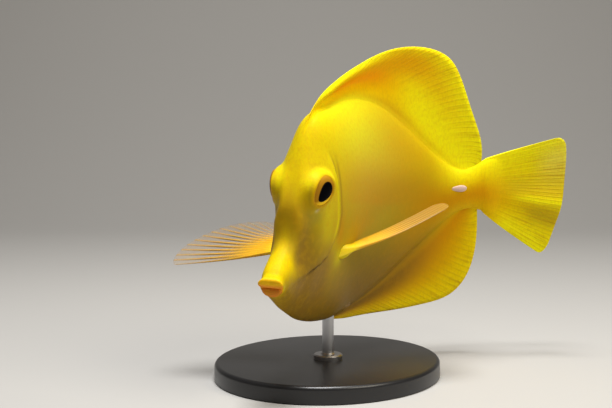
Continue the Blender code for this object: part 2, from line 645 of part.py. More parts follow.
def main():
    clear_scene()
    yellow = new_material("yellow skin", (0.95, 0.72, 0.01), 0.45)
    membrane = new_material("fin membrane", (0.95, 0.75, 0.05), 0.4)
    lip = new_material("lips", (0.9, 0.45, 0.03), 0.4)
    eye = new_material("eye", (0.02, 0.015, 0.01), 0.08)
    bone = new_material("white spine", (0.92, 0.86, 0.82), 0.3)
    black = new_material("black base", (0.02, 0.02, 0.022), 0.3)
    steel = new_material("steel rod", (0.6, 0.6, 0.62), 0.25, 1.0)

    fish = make_fish()
    make_head(yellow, fish)
    make_lips(lip, fish)
    make_eyes(eye, fish)
    body_piece("trunk", HEAD_END, TRUNK_END, TRUNK_GRID, yellow, fish)
    tail_base = body_piece("tail_base", TRUNK_END, 1.0, TAIL_BASE_GRID, yellow, fish)
    make_tail_spines(bone, tail_base, fish)
    edge_fin("dorsal_fin", DORSAL_RAYS, (DORSAL_FROM, DORSAL_TO), back_edge, DORSAL_EDGE, 1,
             DORSAL_STEPS, dorsal_lean, yellow, fish)
    edge_fin("anal_fin", ANAL_RAYS, (ANAL_FROM, ANAL_TO), belly_edge, ANAL_EDGE, -1,
             ANAL_STEPS, no_lean, yellow, fish)
    make_tail_fin(yellow, fish)
    make_paired_fins(membrane, fish, yellow)
    make_base(black)
    make_rod(steel, fish, yellow)


main()
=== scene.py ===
"""The looks of the yellow tang: skin, fins, eyes, spines, stand, light and camera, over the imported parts.

The fish is worked out straight first, in shares of its standard length: x to its left, y back from the
mouth and z up. Then its spine is bent to the left, and the fish is pitched and rolled on the stand.
"""

import math
from typing import NamedTuple

import bmesh
import bpy
import numpy as np
from mathutils import Matrix, Vector


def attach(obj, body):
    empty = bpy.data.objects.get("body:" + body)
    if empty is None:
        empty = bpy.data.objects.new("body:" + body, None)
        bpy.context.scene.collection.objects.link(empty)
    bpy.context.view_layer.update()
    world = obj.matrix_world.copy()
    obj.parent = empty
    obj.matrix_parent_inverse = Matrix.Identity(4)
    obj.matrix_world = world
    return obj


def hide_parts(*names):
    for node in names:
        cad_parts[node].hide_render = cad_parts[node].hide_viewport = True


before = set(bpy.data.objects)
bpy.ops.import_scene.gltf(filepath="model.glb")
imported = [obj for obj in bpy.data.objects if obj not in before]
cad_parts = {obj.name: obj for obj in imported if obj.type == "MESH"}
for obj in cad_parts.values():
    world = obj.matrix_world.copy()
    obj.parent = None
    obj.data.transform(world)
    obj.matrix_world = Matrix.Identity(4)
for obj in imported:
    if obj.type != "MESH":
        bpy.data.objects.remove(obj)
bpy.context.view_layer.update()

# Sizes of the fish and its stand: lengths given by MM are in metres and turns in radians, and all other
# places and sizes are shares of the standard length
MM = 0.001
STANDARD_LENGTH = 120 * MM
SPINE_TURN = math.radians(61.6)
TURN_FROM, TURN_TO = 0.44, 0.99
HEAD_TURN, HEAD_FROM = math.radians(14), 0.25
NOSE_DOWN = math.radians(10.9)
ROLL_LEFT = math.radians(6.6)
BASE_LENGTH, BASE_WIDTH, BASE_THICK, BASE_EDGE = 84 * MM, 76 * MM, 6 * MM, 1.4 * MM
ROD_RADIUS, ROD_FOOT_RADIUS, ROD_FOOT_THICK = 2 * MM, 5 * MM, 1.6 * MM
BELLY_HEIGHT = 14.5 * MM
ROD_AT = 0.405

# Stations from the lips to the tail base, evenly spaced along t: back edge (y, z), belly edge (y, z),
# half width, bow towards the tail, lens power above and below, widest level
STATIONS = np.array([
    (0.000, 0.014, 0.014, -0.042, 0.031, 0.000, 0.50, 0.85, 0.00),
    (0.050, 0.038, 0.050, -0.070, 0.039, 0.004, 0.75, 1.00, 0.00),
    (0.110, 0.078, 0.087, -0.104, 0.045, 0.012, 0.75, 1.05, 0.10),
    (0.128, 0.152, 0.122, -0.130, 0.055, 0.032, 0.70, 1.15, 0.25),
    (0.170, 0.227, 0.156, -0.154, 0.068, 0.042, 0.84, 1.20, 0.30),
    (0.248, 0.350, 0.206, -0.184, 0.075, 0.058, 1.12, 1.20, 0.25),
    (0.335, 0.374, 0.285, -0.219, 0.078, 0.038, 1.15, 1.20, 0.15),
    (0.430, 0.378, 0.375, -0.244, 0.078, 0.018, 1.35, 1.25, 0.10),
    (0.540, 0.366, 0.490, -0.254, 0.074, 0.005, 1.35, 1.30, 0.05),
    (0.650, 0.322, 0.615, -0.232, 0.064, 0.000, 1.35, 1.30, 0.00),
    (0.760, 0.236, 0.740, -0.160, 0.050, 0.000, 1.30, 1.25, 0.00),
    (0.860, 0.148, 0.855, -0.072, 0.036, 0.000, 1.20, 1.20, 0.00),
    (0.935, 0.110, 0.932, -0.018, 0.028, 0.000, 1.10, 1.10, 0.00),
    (1.000, 0.140, 1.000, -0.021, 0.020, 0.000, 1.00, 1.00, 0.00),
])
LAST = len(STATIONS) - 1
DORSAL_FROM, DORSAL_TO = 5 / LAST + 0.006, 0.93
ANAL_FROM, ANAL_TO = 7 / LAST + 0.020, 0.93
DORSAL_EDGE = (
    (0.262, 0.376), (0.336, 0.418), (0.440, 0.442), (0.550, 0.464), (0.660, 0.487), (0.770, 0.490),
    (0.865, 0.460), (0.916, 0.390), (0.954, 0.292), (0.988, 0.197), (0.992, 0.120),
)
ANAL_EDGE = (
    (0.430, -0.266), (0.490, -0.286), (0.550, -0.300), (0.640, -0.315), (0.735, -0.325), (0.828, -0.322),
    (0.912, -0.300), (0.965, -0.240), (0.987, -0.165), (0.992, -0.090), (0.988, -0.008),
)
TAIL_TOP, TAIL_MIDDLE, TAIL_FOOT = (1.240, 0.217), (1.250, 0.048), (1.204, -0.172)
TAIL_CORNER, TAIL_CORNER_WIDE = 0.11, 0.11
DORSAL_RAYS, ANAL_RAYS, TAIL_RAYS, PECTORAL_RAYS, PELVIC_RAYS = 28, 22, 17, 15, 6
DORSAL_SWEEP, ANAL_SWEEP = 0.12, 0.08

# Folds of a fin: how far to the left, or to the right where negative, and their place and width on it
DORSAL_FOLDS = ((-0.010, 0.30, 0.22), (0.008, 0.74, 0.20))
TAIL_FOLDS = ((0.016, 0.62, 0.13), (-0.010, 0.35, 0.2))

# Eyes: the ball that the head swells into round each, where the eye looks, its half width, half depth and
# rise out of the ball, and the rim round it
ORBIT = np.array((0.0350, 0.2100, 0.1885))
ORBIT_RADIUS = 0.046
EYE_FORWARD, EYE_UP = math.radians(20), math.radians(-4)
EYE_RADIUS, EYE_DEPTH, EYE_LIFT = 0.038, 0.016, 0.031
RIM_RADIUS, RIM_WIDE, RIM_RISE = 0.0400, 0.0085, 0.0080

# The pit that the skin sinks into under the eye: its depth, and where its slope starts and ends
PIT_DEPTH, PIT_SLOPE = 0.045, (0.020, 0.036)

# How the eye leans, how much longer than wide it is, and how far it moves along its long way
EYE_LEAN, EYE_OVAL, EYE_SHIFT = math.radians(42), 1.12, 0.007

# Fin sheets: half thickness at root and edge, the height of a ray, and the power by which they thin
ROOT_HALF, EDGE_HALF, RAY_RISE = 0.9 * MM, 0.10 * MM, 0.04 * MM
THINNING = 2.2

# The gill cover's hind edge on the straight fish, from its top to the throat
GILL_EDGE = np.array([
    (0.262, 0.285), (0.273, 0.247), (0.283, 0.176), (0.293, 0.103), (0.287, 0.066), (0.270, 0.028),
    (0.242, -0.003), (0.200, -0.012), (0.153, -0.019), (0.128, -0.042), (0.115, -0.085),
])
GILL_LIFT, GILL_STEP, GILL_SLOPE = 0.0085, (-0.0015, 0.0025), (0.01, 0.075)
GILL_FOOT, GILL_TOP = (-0.034, -0.014), (0.20, 0.30)

# Nostrils: place along the fish, level and radius, and their depth in radii
NOSTRILS = ((0.188, 0.141, 0.0036), (0.199, 0.151, 0.0030))
NOSTRIL_DEPTH = 0.6

# The hollow of the cheek, from under the eye to behind the lips
CHEEK_HOLLOW = np.array([(0.172, 0.105), (0.142, 0.062), (0.122, 0.020)])
CHEEK_DEPTH, CHEEK_WIDE = 0.008, 0.029

# The broad hollow below and before the eye
BROW_HOLLOW, BROW_DEPTH, BROW_WIDE = (0.152, 0.156), 0.014, 0.036

# Lips: their reach forward, its share for the upper and the lower lip, the level of the slit between them,
# and how much they swell, pinch in at the slit, narrow below and at the corners, and fill out above
LIP_FORWARD, LIP_UPPER, LIP_LOWER, SLIT_LEVEL = 0.014, 1.15, 0.80, 0.47
LIP_SWELL, LIP_PINCH, LIP_NARROW, LIP_CORNER, LIP_FULL = 0.16, 0.22, 0.24, 0.26, 0.10

# The narrower neck behind the lips: how much narrower, and its place and width along t
NECK, NECK_AT, NECK_WIDE = 0.08, 0.024, 0.016

# A last row closes each fin's sheet: its place just past the edge, on the tail and on the paired fins
TAIL_CLOSED, BLADE_CLOSED = 1.003, 1.004

# Further off than any place on the fish
FAR = 9.0


def spline(values, at):
    """A natural cubic through evenly spaced rows, at places from 0 to 1."""
    values = np.asarray(values, float)
    n = len(values)
    system = np.eye(n)
    rise = np.zeros_like(values)
    for i in range(1, n - 1):
        system[i, i - 1:i + 2] = (1, 4, 1)
        rise[i] = 6 * (values[i - 1] - 2 * values[i] + values[i + 1])
    bends = np.linalg.solve(system, rise)
    place = np.clip(np.asarray(at, float), 0, 1) * (n - 1)
    low = np.minimum(place.astype(int), n - 2)
    b = place - low
    a = 1 - b
    if values.ndim > 1:
        a, b = a[..., None], b[..., None]
    return (a * values[low] + b * values[low + 1]
            + ((a**3 - a) * bends[low] + (b**3 - b) * bends[low + 1]) / 6)


def ramp(x, low, high):
    """0 below low, 1 above high, smooth between."""
    s = np.clip((x - low) / (high - low), 0, 1)
    return s * s * (3 - 2 * s)


def fall(x, low, high):
    """1 below low, 0 above high, smooth between."""
    return 1 - ramp(x, low, high)


def hump(x, centre, wide):
    """1 at the centre, falling off as a bell."""
    return np.exp(-(((x - centre) / wide) ** 2))


def folded(x, folds):
    """How far a sheet stands to the left at a place: the sum of its folds, each a bell."""
    return sum(far * hump(x, centre, wide) for far, centre, wide in folds)


def round_hump(y, z, centre, wide):
    """1 at a place on the flank, falling off as a bell all round it."""
    return hump(np.hypot(y - centre[0], z - centre[1]), 0, wide)


def round_ends(place, wide):
    """A quarter circle up from 0 at both ends of the range from 0 to 1, and 1 further in than the width."""
    near = np.minimum(place, 1 - place) / wide
    return np.sqrt(1 - np.clip(1 - near, 0, 1) ** 2)


def body_side(t, sine):
    """The left flank: half width, y and z. Each section is a bowed line from belly to back edge, and the
    half width along it is a power of the cosine."""
    table = spline(STATIONS, t)
    back_y, back_z, belly_y, belly_z, half, bow, up, down, level = np.moveaxis(table, -1, 0)
    cosine = np.sqrt(np.clip(1 - sine**2, 0, 1))
    along = level + np.where(sine > 0, 1 - level, 1 + level) * sine
    y = belly_y + (back_y - belly_y) * (along + 1) / 2 + bow * (1 - along**2)
    z = belly_z + (back_z - belly_z) * (along + 1) / 2
    back = ramp(t, DORSAL_FROM - 0.05, DORSAL_FROM + 0.02) * fall(t, DORSAL_TO, DORSAL_TO + 0.04)
    belly = ramp(t, ANAL_FROM - 0.08, ANAL_FROM) * fall(t, ANAL_TO, ANAL_TO + 0.04)
    edge = ROOT_HALF / STANDARD_LENGTH * np.where(sine > 0, back, belly)
    return edge + (half - edge) * cosine ** np.where(sine > 0, up, down), y, z


def bent(points):
    """Points of the straight fish, in shares, as metres on the bent one. Its spine runs along one circle's
    arc over the tail and another's over the head, both to its left, and sections stay square to it."""
    x, y, z = np.moveaxis(points, -1, 0)
    rate = SPINE_TURN / (TURN_TO - TURN_FROM)
    tail = rate * (np.clip(y, TURN_FROM, TURN_TO) - TURN_FROM)
    after = np.maximum(y - TURN_TO, 0)
    line_x = (1 - np.cos(tail)) / rate + after * np.sin(tail)
    line_y = TURN_FROM + np.sin(tail) / rate + after * np.cos(tail) + np.minimum(y - TURN_FROM, 0)
    head_rate = HEAD_TURN / HEAD_FROM
    before = np.maximum(HEAD_FROM - y, 0)
    head = head_rate * before
    line_x = line_x + (1 - np.cos(head)) / head_rate
    line_y = line_y + before - np.sin(head) / head_rate
    turn = tail - head
    return STANDARD_LENGTH * np.stack([line_x + x * np.cos(turn), line_y - x * np.sin(turn), z], -1)


def fish_pose():
    """The bent fish's place on the stand: nose down, rolled to its left, its belly on the rod."""
    pose = Matrix.Rotation(NOSE_DOWN, 4, "X") @ Matrix.Rotation(ROLL_LEFT, 4, "Y")
    t = np.interp(ROD_AT, STATIONS[:, 2], np.linspace(0, 1, LAST + 1))
    edge = spline(STATIONS, t)[2:4]
    belly = Vector(bent(np.array((0.0, edge[0], edge[1]))))
    pose.translation = Vector((0, 0, BASE_THICK + BELLY_HEIGHT)) - pose @ belly
    return pose


POSE = fish_pose()


def posed(points):
    """Metres in the fish's own frame, carried onto the stand."""
    turn = np.array(POSE)
    return points @ turn[:3, :3].T + turn[:3, 3]


def place_object(name, data):
    """An object of this data, in the scene."""
    made = bpy.data.objects.new(name, data)
    bpy.context.scene.collection.objects.link(made)
    return made


def grid_mesh(name, points, material, closed):
    """A mesh on a grid of points, its rows or columns joined round where closed says so."""
    rows, columns = points.shape[:2]
    index = np.arange(rows * columns).reshape(rows, columns)
    if closed[0]:
        index = np.concatenate([index, index[:1]], 0)
    if closed[1]:
        index = np.concatenate([index, index[:, :1]], 1)
    faces = np.stack([index[:-1, :-1], index[1:, :-1], index[1:, 1:], index[:-1, 1:]], -1).reshape(-1, 4)
    mesh = bpy.data.meshes.new(name)
    mesh.from_pydata(points.reshape(-1, 3).tolist(), [], faces.tolist())
    mesh.shade_smooth()
    mesh.materials.append(material)
    return mesh


def grid_piece(name, points, material, closed=(False, True), **values):
    """One closed piece on a grid of points, riding the body, with named values for its material."""
    mesh = grid_mesh(name, points, material, closed)
    for label, array in values.items():
        field = mesh.attributes.new(label, "FLOAT_VECTOR", "POINT")
        field.data.foreach_set("vector", np.asarray(array, np.float32).ravel())
    work = bmesh.new()
    work.from_mesh(mesh)
    bmesh.ops.remove_doubles(work, verts=work.verts, dist=0.002 * MM)
    if work.calc_volume(signed=True) < 0:
        bmesh.ops.reverse_faces(work, faces=work.faces)
    work.to_mesh(mesh)
    work.free()
    made = place_object(name, mesh)
    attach(made, "root")
    return made


# Shader helpers


def wire(tree, socket, value):
    """A node's output or a plain value, given to an input."""
    if isinstance(value, bpy.types.NodeSocket):
        tree.links.new(value, socket)
    else:
        socket.default_value = value


def calc(tree, operation, a, b=0.0, c=0.0):
    """One operation on up to three values."""
    node = tree.nodes.new("ShaderNodeMath")
    node.operation = operation
    for socket, value in zip(node.inputs, (a, b, c)):
        wire(tree, socket, value)
    return node.outputs[0]


def times(tree, first, *others):
    """The product of several values."""
    for other in others:
        first = calc(tree, "MULTIPLY", first, other)
    return first


def blend(tree, amount, one, other):
    """Between two colours by an amount from 0 to 1."""
    node = tree.nodes.new("ShaderNodeMix")
    node.data_type = "RGBA"
    wire(tree, node.inputs["Factor"], amount)
    for label, tone in (("A", one), ("B", other)):
        wire(tree, node.inputs[label], (*tone, 1) if isinstance(tone, tuple) else tone)
    return node.outputs["Result"]


def smooth_range(tree, value, low, high, start=0.0, end=1.0):
    """From start to end as a value goes from low to high, smooth between."""
    node = tree.nodes.new("ShaderNodeMapRange")
    node.interpolation_type = "SMOOTHSTEP"
    for socket, given in zip(node.inputs[:5], (value, low, high, start, end)):
        wire(tree, socket, given)
    return node.outputs[0]


def read(tree, name):
    """A named value of the mesh."""
    node = tree.nodes.new("ShaderNodeAttribute")
    node.attribute_name = name
    return node.outputs["Vector"]


def read_parts(tree, name):
    """The three parts of a named value of the mesh."""
    split = tree.nodes.new("ShaderNodeSeparateXYZ")
    tree.links.new(read(tree, name), split.inputs[0])
    return split.outputs[:3]


def noise(tree, where, scale, detail):
    """Soft random spots, as many along a place's unit as the scale."""
    node = tree.nodes.new("ShaderNodeTexNoise")
    wire(tree, node.inputs["Vector"], where)
    node.inputs["Scale"].default_value = scale
    node.inputs["Detail"].default_value = detail
    return node.outputs["Fac"]


def stretched(tree, where, scale):
    """A place times a scale for each of its three parts."""
    node = tree.nodes.new("ShaderNodeVectorMath")
    node.operation = "MULTIPLY"
    wire(tree, node.inputs[0], where)
    node.inputs[1].default_value = scale
    return node.outputs[0]


def bump(tree, shader, height, distance, strength=1.0):
    """Small relief from a height, as the shader's normal."""
    node = tree.nodes.new("ShaderNodeBump")
    node.inputs["Strength"].default_value = strength
    node.inputs["Distance"].default_value = distance
    wire(tree, node.inputs["Height"], height)
    tree.links.new(node.outputs[0], shader.inputs["Normal"])


def new_material(name, roughness, base=(0.8, 0.8, 0.8), **settings):
    """A material, its node tree and its shader, whose inputs are set by name."""
    material = bpy.data.materials.new(name)
    material.use_nodes = True
    shader = material.node_tree.nodes["Principled BSDF"]
    shader.inputs["Base Color"].default_value = (*base, 1)
    shader.inputs["Roughness"].default_value = roughness
    for label, value in settings.items():
        shader.inputs[label.replace("_", " ")].default_value = value
    return material, material.node_tree, shader


# Colours, in linear light, and how much darker the body is painted than the fins so they seem lit through
FLESH_DARKER_FOR_FIN_GLOW = 0.24
YELLOW = (0.92, 0.66, 0.002)
# Painted shade: orange in the hollow under the dorsal fin's fold
HOLLOW_SHADE = (0.95, 0.34, 0.001)
# Painted highlight: light yellow where light falls on the back, ridges and fin margins
BRIGHT = (1.00, 0.90, 0.006)
# Painted highlight on the anal fin's margin
AMBER_HIGHLIGHT = (1.00, 0.74, 0.003)
# Painted shade, deep orange, on the rear of the back and over the anal fin
DEEP = (0.84, 0.50, 0.002)
# Painted shade at fin roots, in creases and low on the tail base; also the random spots and eye's rim
ORANGE = (0.76, 0.34, 0.002)
# Painted shade on the lower flank, cheek, snout and tail; also the head's random mottle
OLIVE = (0.48, 0.34, 0.012)
# Painted shade on the brow; also the fins' random streaks and the skin's grain
SHADE_AND_GRAIN = (0.46, 0.25, 0.008)
# Painted shade under throat and belly, by the eye and gill cover; also lines on fin rays and their gaps
BROWN = (0.34, 0.19, 0.022)
GOLDEN = (0.50, 0.28, 0.045)
LIP = (0.74, 0.25, 0.026)
# Painted shadow in the slits of mouth and gill, and painted shade at the anal fin's root
DARK = (0.06, 0.030, 0.004)
# Painted shade, grey-green, under the eye
GREEN_SHADE = (0.30, 0.27, 0.05)
# The nostril's pale rim and a streak on the tail; also a painted sheen on the middle of the flank
PALE = (0.80, 0.70, 0.35)
# The paired fins' yellow root, painted lighter as a highlight on the lit knob
BLADE_ROOT = (1.0, 0.74, 0.002)
BLADE_INNER = (0.80, 0.42, 0.002)
IRIS = (0.40, 0.19, 0.012)
IRIS_GOLD = (0.95, 0.60, 0.02)
PUPIL = (0.002, 0.002, 0.003)
WHITE_SPINE = (0.74, 0.52, 0.43)
STAND_BLACK = (0.012, 0.012, 0.013)
STAND_STEEL = (0.50, 0.50, 0.51)
FLOOR_GREY = (0.46, 0.45, 0.43)

# The skin's small marks: how many spots to the metre, the share of each mark over the painted colour, where
# the head's own marks begin and are full, in metres, and the relief of scales and rays
MOTTLE_SPOTS, GRAIN_SPOTS, SCALE_SPOTS = 520.0, 1500.0, 2600.0
RAY_SHARE, STREAK_SHARE, GRAIN_SHARE = 0.14, 0.48, 0.14
MOTTLE_BODY, MOTTLE_FIN, MOTTLE_HEAD = 0.12, 0.04, 0.22
HEAD_MARKS = (0.28 * STANDARD_LENGTH, 0.20 * STANDARD_LENGTH)
SCALE_HEIGHT, RAY_HEIGHT, RELIEF = 0.14, 0.2, 0.4 * MM


def skin_material():
    """Its colours are painted on the mesh; darker lines run along the fin rays, and scales are raised."""
    material, tree, shader = new_material(
        "yellow skin", 0.44, Subsurface_Weight=0.15, Subsurface_Radius=(0.004, 0.0015, 0.0002),
        Subsurface_Scale=0.6, Specular_IOR_Level=0.08, Specular_Tint=(1.0, 0.85, 0.25, 1))
    phase, reach, mask = read_parts(tree, "fin")
    lie = read(tree, "lie")
    mottle = smooth_range(tree, noise(tree, lie, MOTTLE_SPOTS, 5.0), 0.42, 0.75)
    grain = noise(tree, stretched(tree, lie, (1.0, 1.0, 0.5)), GRAIN_SPOTS, 3.0)
    grain = smooth_range(tree, grain, 0.42, 0.68)
    head = smooth_range(tree, read_parts(tree, "lie")[1], *HEAD_MARKS)
    ray = smooth_range(tree, calc(tree, "COSINE", times(tree, phase, 4 * math.pi)), 0.3, 1.0)
    on_fin = times(tree, mask, smooth_range(tree, reach, 0.25, 0.8, 0.2, 1.0))
    line = times(tree, ray, on_fin)
    streaks = noise(tree, stretched(tree, read(tree, "fin"), (1.9, 1.3, 0.0)), 1.0, 3.0)
    streaks = times(tree, smooth_range(tree, streaks, 0.48, 0.72), on_fin)
    spots = times(
        tree, mottle, calc(tree, "MULTIPLY_ADD", mask, MOTTLE_FIN - MOTTLE_BODY, MOTTLE_BODY))
    colour = blend(tree, times(tree, line, RAY_SHARE), read(tree, "paint"), BROWN)
    for share, tone in (
        (times(tree, streaks, STREAK_SHARE), SHADE_AND_GRAIN),
        (spots, ORANGE),
        (times(tree, mottle, head, MOTTLE_HEAD), OLIVE),
        (times(tree, grain, GRAIN_SHARE), SHADE_AND_GRAIN),
    ):
        colour = blend(tree, share, colour, tone)
    tree.links.new(colour, shader.inputs["Base Color"])
    scales = noise(tree, stretched(tree, lie, (1.0, 1.0, 0.55)), SCALE_SPOTS, 2.0)
    scales = times(tree, scales, calc(tree, "SUBTRACT", 1.0, mask), SCALE_HEIGHT)
    bump(tree, shader, calc(tree, "ADD", scales, times(tree, line, RAY_HEIGHT)), RELIEF)
    return material


def distance_to(line, y, z):
    """Distance to a line of points, and a sign: positive on its left when walked from first to last."""
    best = np.full(y.shape, FAR)
    signed = np.zeros(y.shape)
    for start, end in zip(line[:-1], line[1:]):
        way = end - start
        share = np.clip(((y - start[0]) * way[0] + (z - start[1]) * way[1]) / (way @ way), 0, 1)
        off_y, off_z = y - start[0] - share * way[0], z - start[1] - share * way[1]
        away = np.hypot(off_y, off_z)
        side = np.sign(way[0] * (z - start[1]) - way[1] * (y - start[0]))
        signed = np.where(away < best, side * away, signed)
        best = np.minimum(best, away)
    return signed


# The left eye's own ways: out of the head, across and over it, then its long and its short way, and its
# centre
EYE_OUT = np.array((1.0, -math.tan(EYE_FORWARD), math.tan(EYE_UP)))
EYE_OUT /= np.linalg.norm(EYE_OUT)
EYE_ACROSS = np.cross((0, 0, 1), EYE_OUT)
EYE_ACROSS /= np.linalg.norm(EYE_ACROSS)
EYE_OVER = np.cross(EYE_OUT, EYE_ACROSS)
EYE_LONG = math.cos(EYE_LEAN) * EYE_ACROSS + math.sin(EYE_LEAN) * EYE_OVER
EYE_SHORT = math.sin(EYE_LEAN) * EYE_ACROSS - math.cos(EYE_LEAN) * EYE_OVER
EYE = ORBIT + EYE_LIFT * EYE_OUT + EYE_SHIFT * EYE_LONG


def shape_head(half, y, z):
    """The left side of the head. Round the eye it swells into a ball: a point's distance r from the ball's
    centre becomes the fourth root of r^4 + R^4. A rim stands round the eye, the skin sinks under it, and
    the gill cover's hind edge is raised. After the place come what the paint needs: the distance from the
    eye in its radii, the height over it, how far the gill's edge is behind, and that edge's strength."""
    spot = np.stack([half, y, z], -1)
    cheek = CHEEK_DEPTH * hump(distance_to(CHEEK_HOLLOW, y, z), 0, CHEEK_WIDE) * ramp(half, 0.015, 0.05)
    brow = BROW_DEPTH * round_hump(y, z, BROW_HOLLOW, BROW_WIDE) * ramp(half, 0.0, 0.065)
    spot[..., 0] -= cheek + brow
    off = spot - ORBIT
    r = np.linalg.norm(off, axis=-1)
    grown = (r**4 + ORBIT_RADIUS**4) ** (1 / 4) / r
    share = ramp(half, 0.0, 0.03)
    spot = ORBIT + off * (1 + (grown - 1) * share)[..., None]
    off = spot - EYE
    r = np.hypot(off @ EYE_LONG / EYE_OVAL, off @ EYE_SHORT)
    on_side = ramp(off @ EYE_OUT, -0.045, -0.015)
    up = off @ EYE_OVER / EYE_RADIUS
    rim = hump(r, RIM_RADIUS, RIM_WIDE) * RIM_RISE * (0.4 + ramp(up, -1.0, 0.9))
    pit = PIT_DEPTH * fall(r, *PIT_SLOPE)
    spot = spot + ((rim - pit) * on_side)[..., None] * EYE_OUT
    half, y, z = np.moveaxis(spot, -1, 0)
    for *centre, radius in NOSTRILS:
        half = half - NOSTRIL_DEPTH * radius * round_hump(y, z, centre, radius) * ramp(half, 0.02, 0.04)
    ahead = -distance_to(GILL_EDGE, y, z)
    fade = ramp(z, *GILL_FOOT) * fall(z, *GILL_TOP)
    cover = GILL_LIFT * ramp(ahead, *GILL_STEP) * fall(ahead, *GILL_SLOPE) * fade
    eye_r = np.where(on_side > 0.3, r / EYE_RADIUS, FAR)
    return half + cover, y, z, eye_r, up, ahead, fade


def row_levels(count):
    """Sines of the flank's rows: closer round the eye's level and near the edges."""
    fine = np.linspace(-1, 1, 2001)
    at_eye, at_edges = hump(fine, 0.62, 0.36), (1 - np.sqrt(1 - fine**2)) ** 2
    density = 1 + 1.4 * at_eye + 1.6 * at_edges
    total = np.concatenate([[0], np.cumsum((density[1:] + density[:-1]) / 2)])
    return np.interp(np.linspace(0, total[-1], count), total, fine)


# Rows of the flank, and of the dorsal and the anal fin from root to edge
FLANK = row_levels(111)
DORSAL_ROWS = np.linspace(0, 1, 15)[1:]
ANAL_ROWS = np.linspace(0, 1, 12)[1:]


def ray_wave(place, rays, v, low, high):
    """1 on each ray and 0 midway between two, rising from low to high along it and fading at the edge."""
    wave = 0.5 + 0.5 * np.cos(2 * math.pi * place * rays)
    return wave * ramp(v, low, high) * fall(v, 0.9, 1.0)


def fin_rows(t, root, v, low, high, outline, rays, sweep, lean_by):
    """One edge fin on its columns: from the body's edge to the outline, thinning from root to edge, with
    each ray raised. Outside its range along t the fin has no height."""
    half, y, z = (field[:, None] for field in root)
    place = np.clip((t - low) / (high - low), 0, 1)
    height = (ramp(t, low - 0.03, low + 0.003) * (t <= high))[:, None]
    edge = spline(outline, place)
    v = v[None, :]
    fin_y = y + (edge[:, :1] - y) * v * height
    fin_z = z + (edge[:, 1:] - z) * v * height
    thin = EDGE_HALF / STANDARD_LENGTH
    membrane = np.where(half > thin, thin + (half - thin) * (1 - v) ** THINNING, half)
    swept = place[:, None] - sweep * v
    fin_half = membrane + RAY_RISE / STANDARD_LENGTH * ray_wave(swept, rays, v, 0.05, 0.3) * height
    reach = np.broadcast_to(v, fin_y.shape)
    return fin_half, fin_y, fin_z, lean_by(fin_y, v) * height, swept * rays, reach, reach * height


def dorsal_lean(y, v):
    """The fin's front half folds to the right above its root, then back to the left below its edge."""
    return folded(v, DORSAL_FOLDS) * ramp(v, 0.0, 0.2) * ramp(y, 0.27, 0.38) * fall(y, 0.52, 0.75)


def no_lean(y, v):
    """An upright fin."""
    return 0 * y * v


def tail_outline(s):
    """The tail's hind edge from its top corner at 0 to its lower corner at 1, as one quadratic curve."""
    top, middle, foot = (np.array(p) for p in (TAIL_TOP, TAIL_MIDDLE, TAIL_FOOT))
    control = 2 * middle - (top + foot) / 2
    s = s[..., None]
    return (1 - s) ** 2 * top + 2 * s * (1 - s) * control + s**2 * foot


def neck(t):
    """The share of its width and height that the fish keeps behind the lips."""
    return 1 - NECK * hump(t, NECK_AT, NECK_WIDE)


def lip_columns(angles):
    """The lips, from the slit to the snout's end: each is a rounded cushion, its height above the slit half
    of one plus the cosine of an angle and its reach forward the angle's sine, less towards the corners."""
    half, y, z = body_side(np.zeros((1, 1)), FLANK[None, :])
    half = half * neck(0)
    middle = z[:, :1] + (z[:, -1:] - z[:, :1]) * SLIT_LEVEL
    middle_y = (y[:, :1] + y[:, -1:]) / 2
    angle = angles[:, None]
    sine = np.sin(angle)
    share = (1 + np.cos(angle)) / 2
    swell = 1 + LIP_SWELL * sine**1.3
    lip_z = middle + (z - middle) * share * swell
    reach = LIP_FORWARD * np.where(FLANK > 0, LIP_UPPER, LIP_LOWER) * sine**0.8
    lip_y = middle_y + (y - middle_y) * share - reach * (0.25 + 0.75 * np.abs(FLANK) ** 0.6)
    narrow = LIP_NARROW * ramp(-FLANK, -0.05, 0.25) * sine**0.6
    corner = LIP_CORNER * hump(FLANK, 0, 0.30) * sine**0.5
    fuller = LIP_FULL * hump(FLANK, 0.75, 0.25) * sine
    lip_half = half * (1 - LIP_PINCH * (1 - share) ** 2) * (swell + fuller - narrow - corner)
    return lip_half, lip_y, lip_z


def tail_rows(half_end, y_end, z_end):
    """The tail fin: q runs from the body's last ring at 0 to the tail's outline at 1. Its flesh ends before
    the middle, its rays are raised, and two slight folds run along it."""
    q = np.concatenate([np.linspace(0, 1, 34)[1:], [TAIL_CLOSED]])[:, None]
    place = ((1 - FLANK) / 2)[None, :]
    outline = tail_outline(place)
    reach_out = 1 - TAIL_CORNER * (1 - round_ends(place, TAIL_CORNER_WIDE))
    tail_y = y_end + (outline[..., 0] - y_end) * q * reach_out
    tail_z = z_end + (outline[..., 1] - z_end) * q**0.9 * reach_out
    sheet = EDGE_HALF + (ROOT_HALF - EDGE_HALF) * (1 - np.clip(q, 0, 1)) ** 2.0 * 0.8
    tail_half = np.maximum(half_end * fall(q, 0, 0.35), sheet / STANDARD_LENGTH * (q <= 1))
    tail_half = tail_half + RAY_RISE / STANDARD_LENGTH * ray_wave(place, TAIL_RAYS, q, 0.1, 0.3)
    lean = folded(place, TAIL_FOLDS) * ramp(q, 0.1, 0.9)
    rows = tail_half * (q <= 1), tail_y, tail_z, lean, place * TAIL_RAYS, q, ramp(q, 0.02, 0.25)
    return [np.broadcast_to(field, tail_y.shape) for field in rows]


def gathered(rows):
    """Rows of the flank, with the fins' rows gathered on its two edges."""
    low = np.repeat(rows[:, :1], len(ANAL_ROWS), 1)
    high = np.repeat(rows[:, -1:], len(DORSAL_ROWS), 1)
    return np.concatenate([low, rows, high], 1)


def both_sides(part):
    """What the left side has, and again in turn for the right side."""
    return np.concatenate([part, part[:, ::-1]], 1)


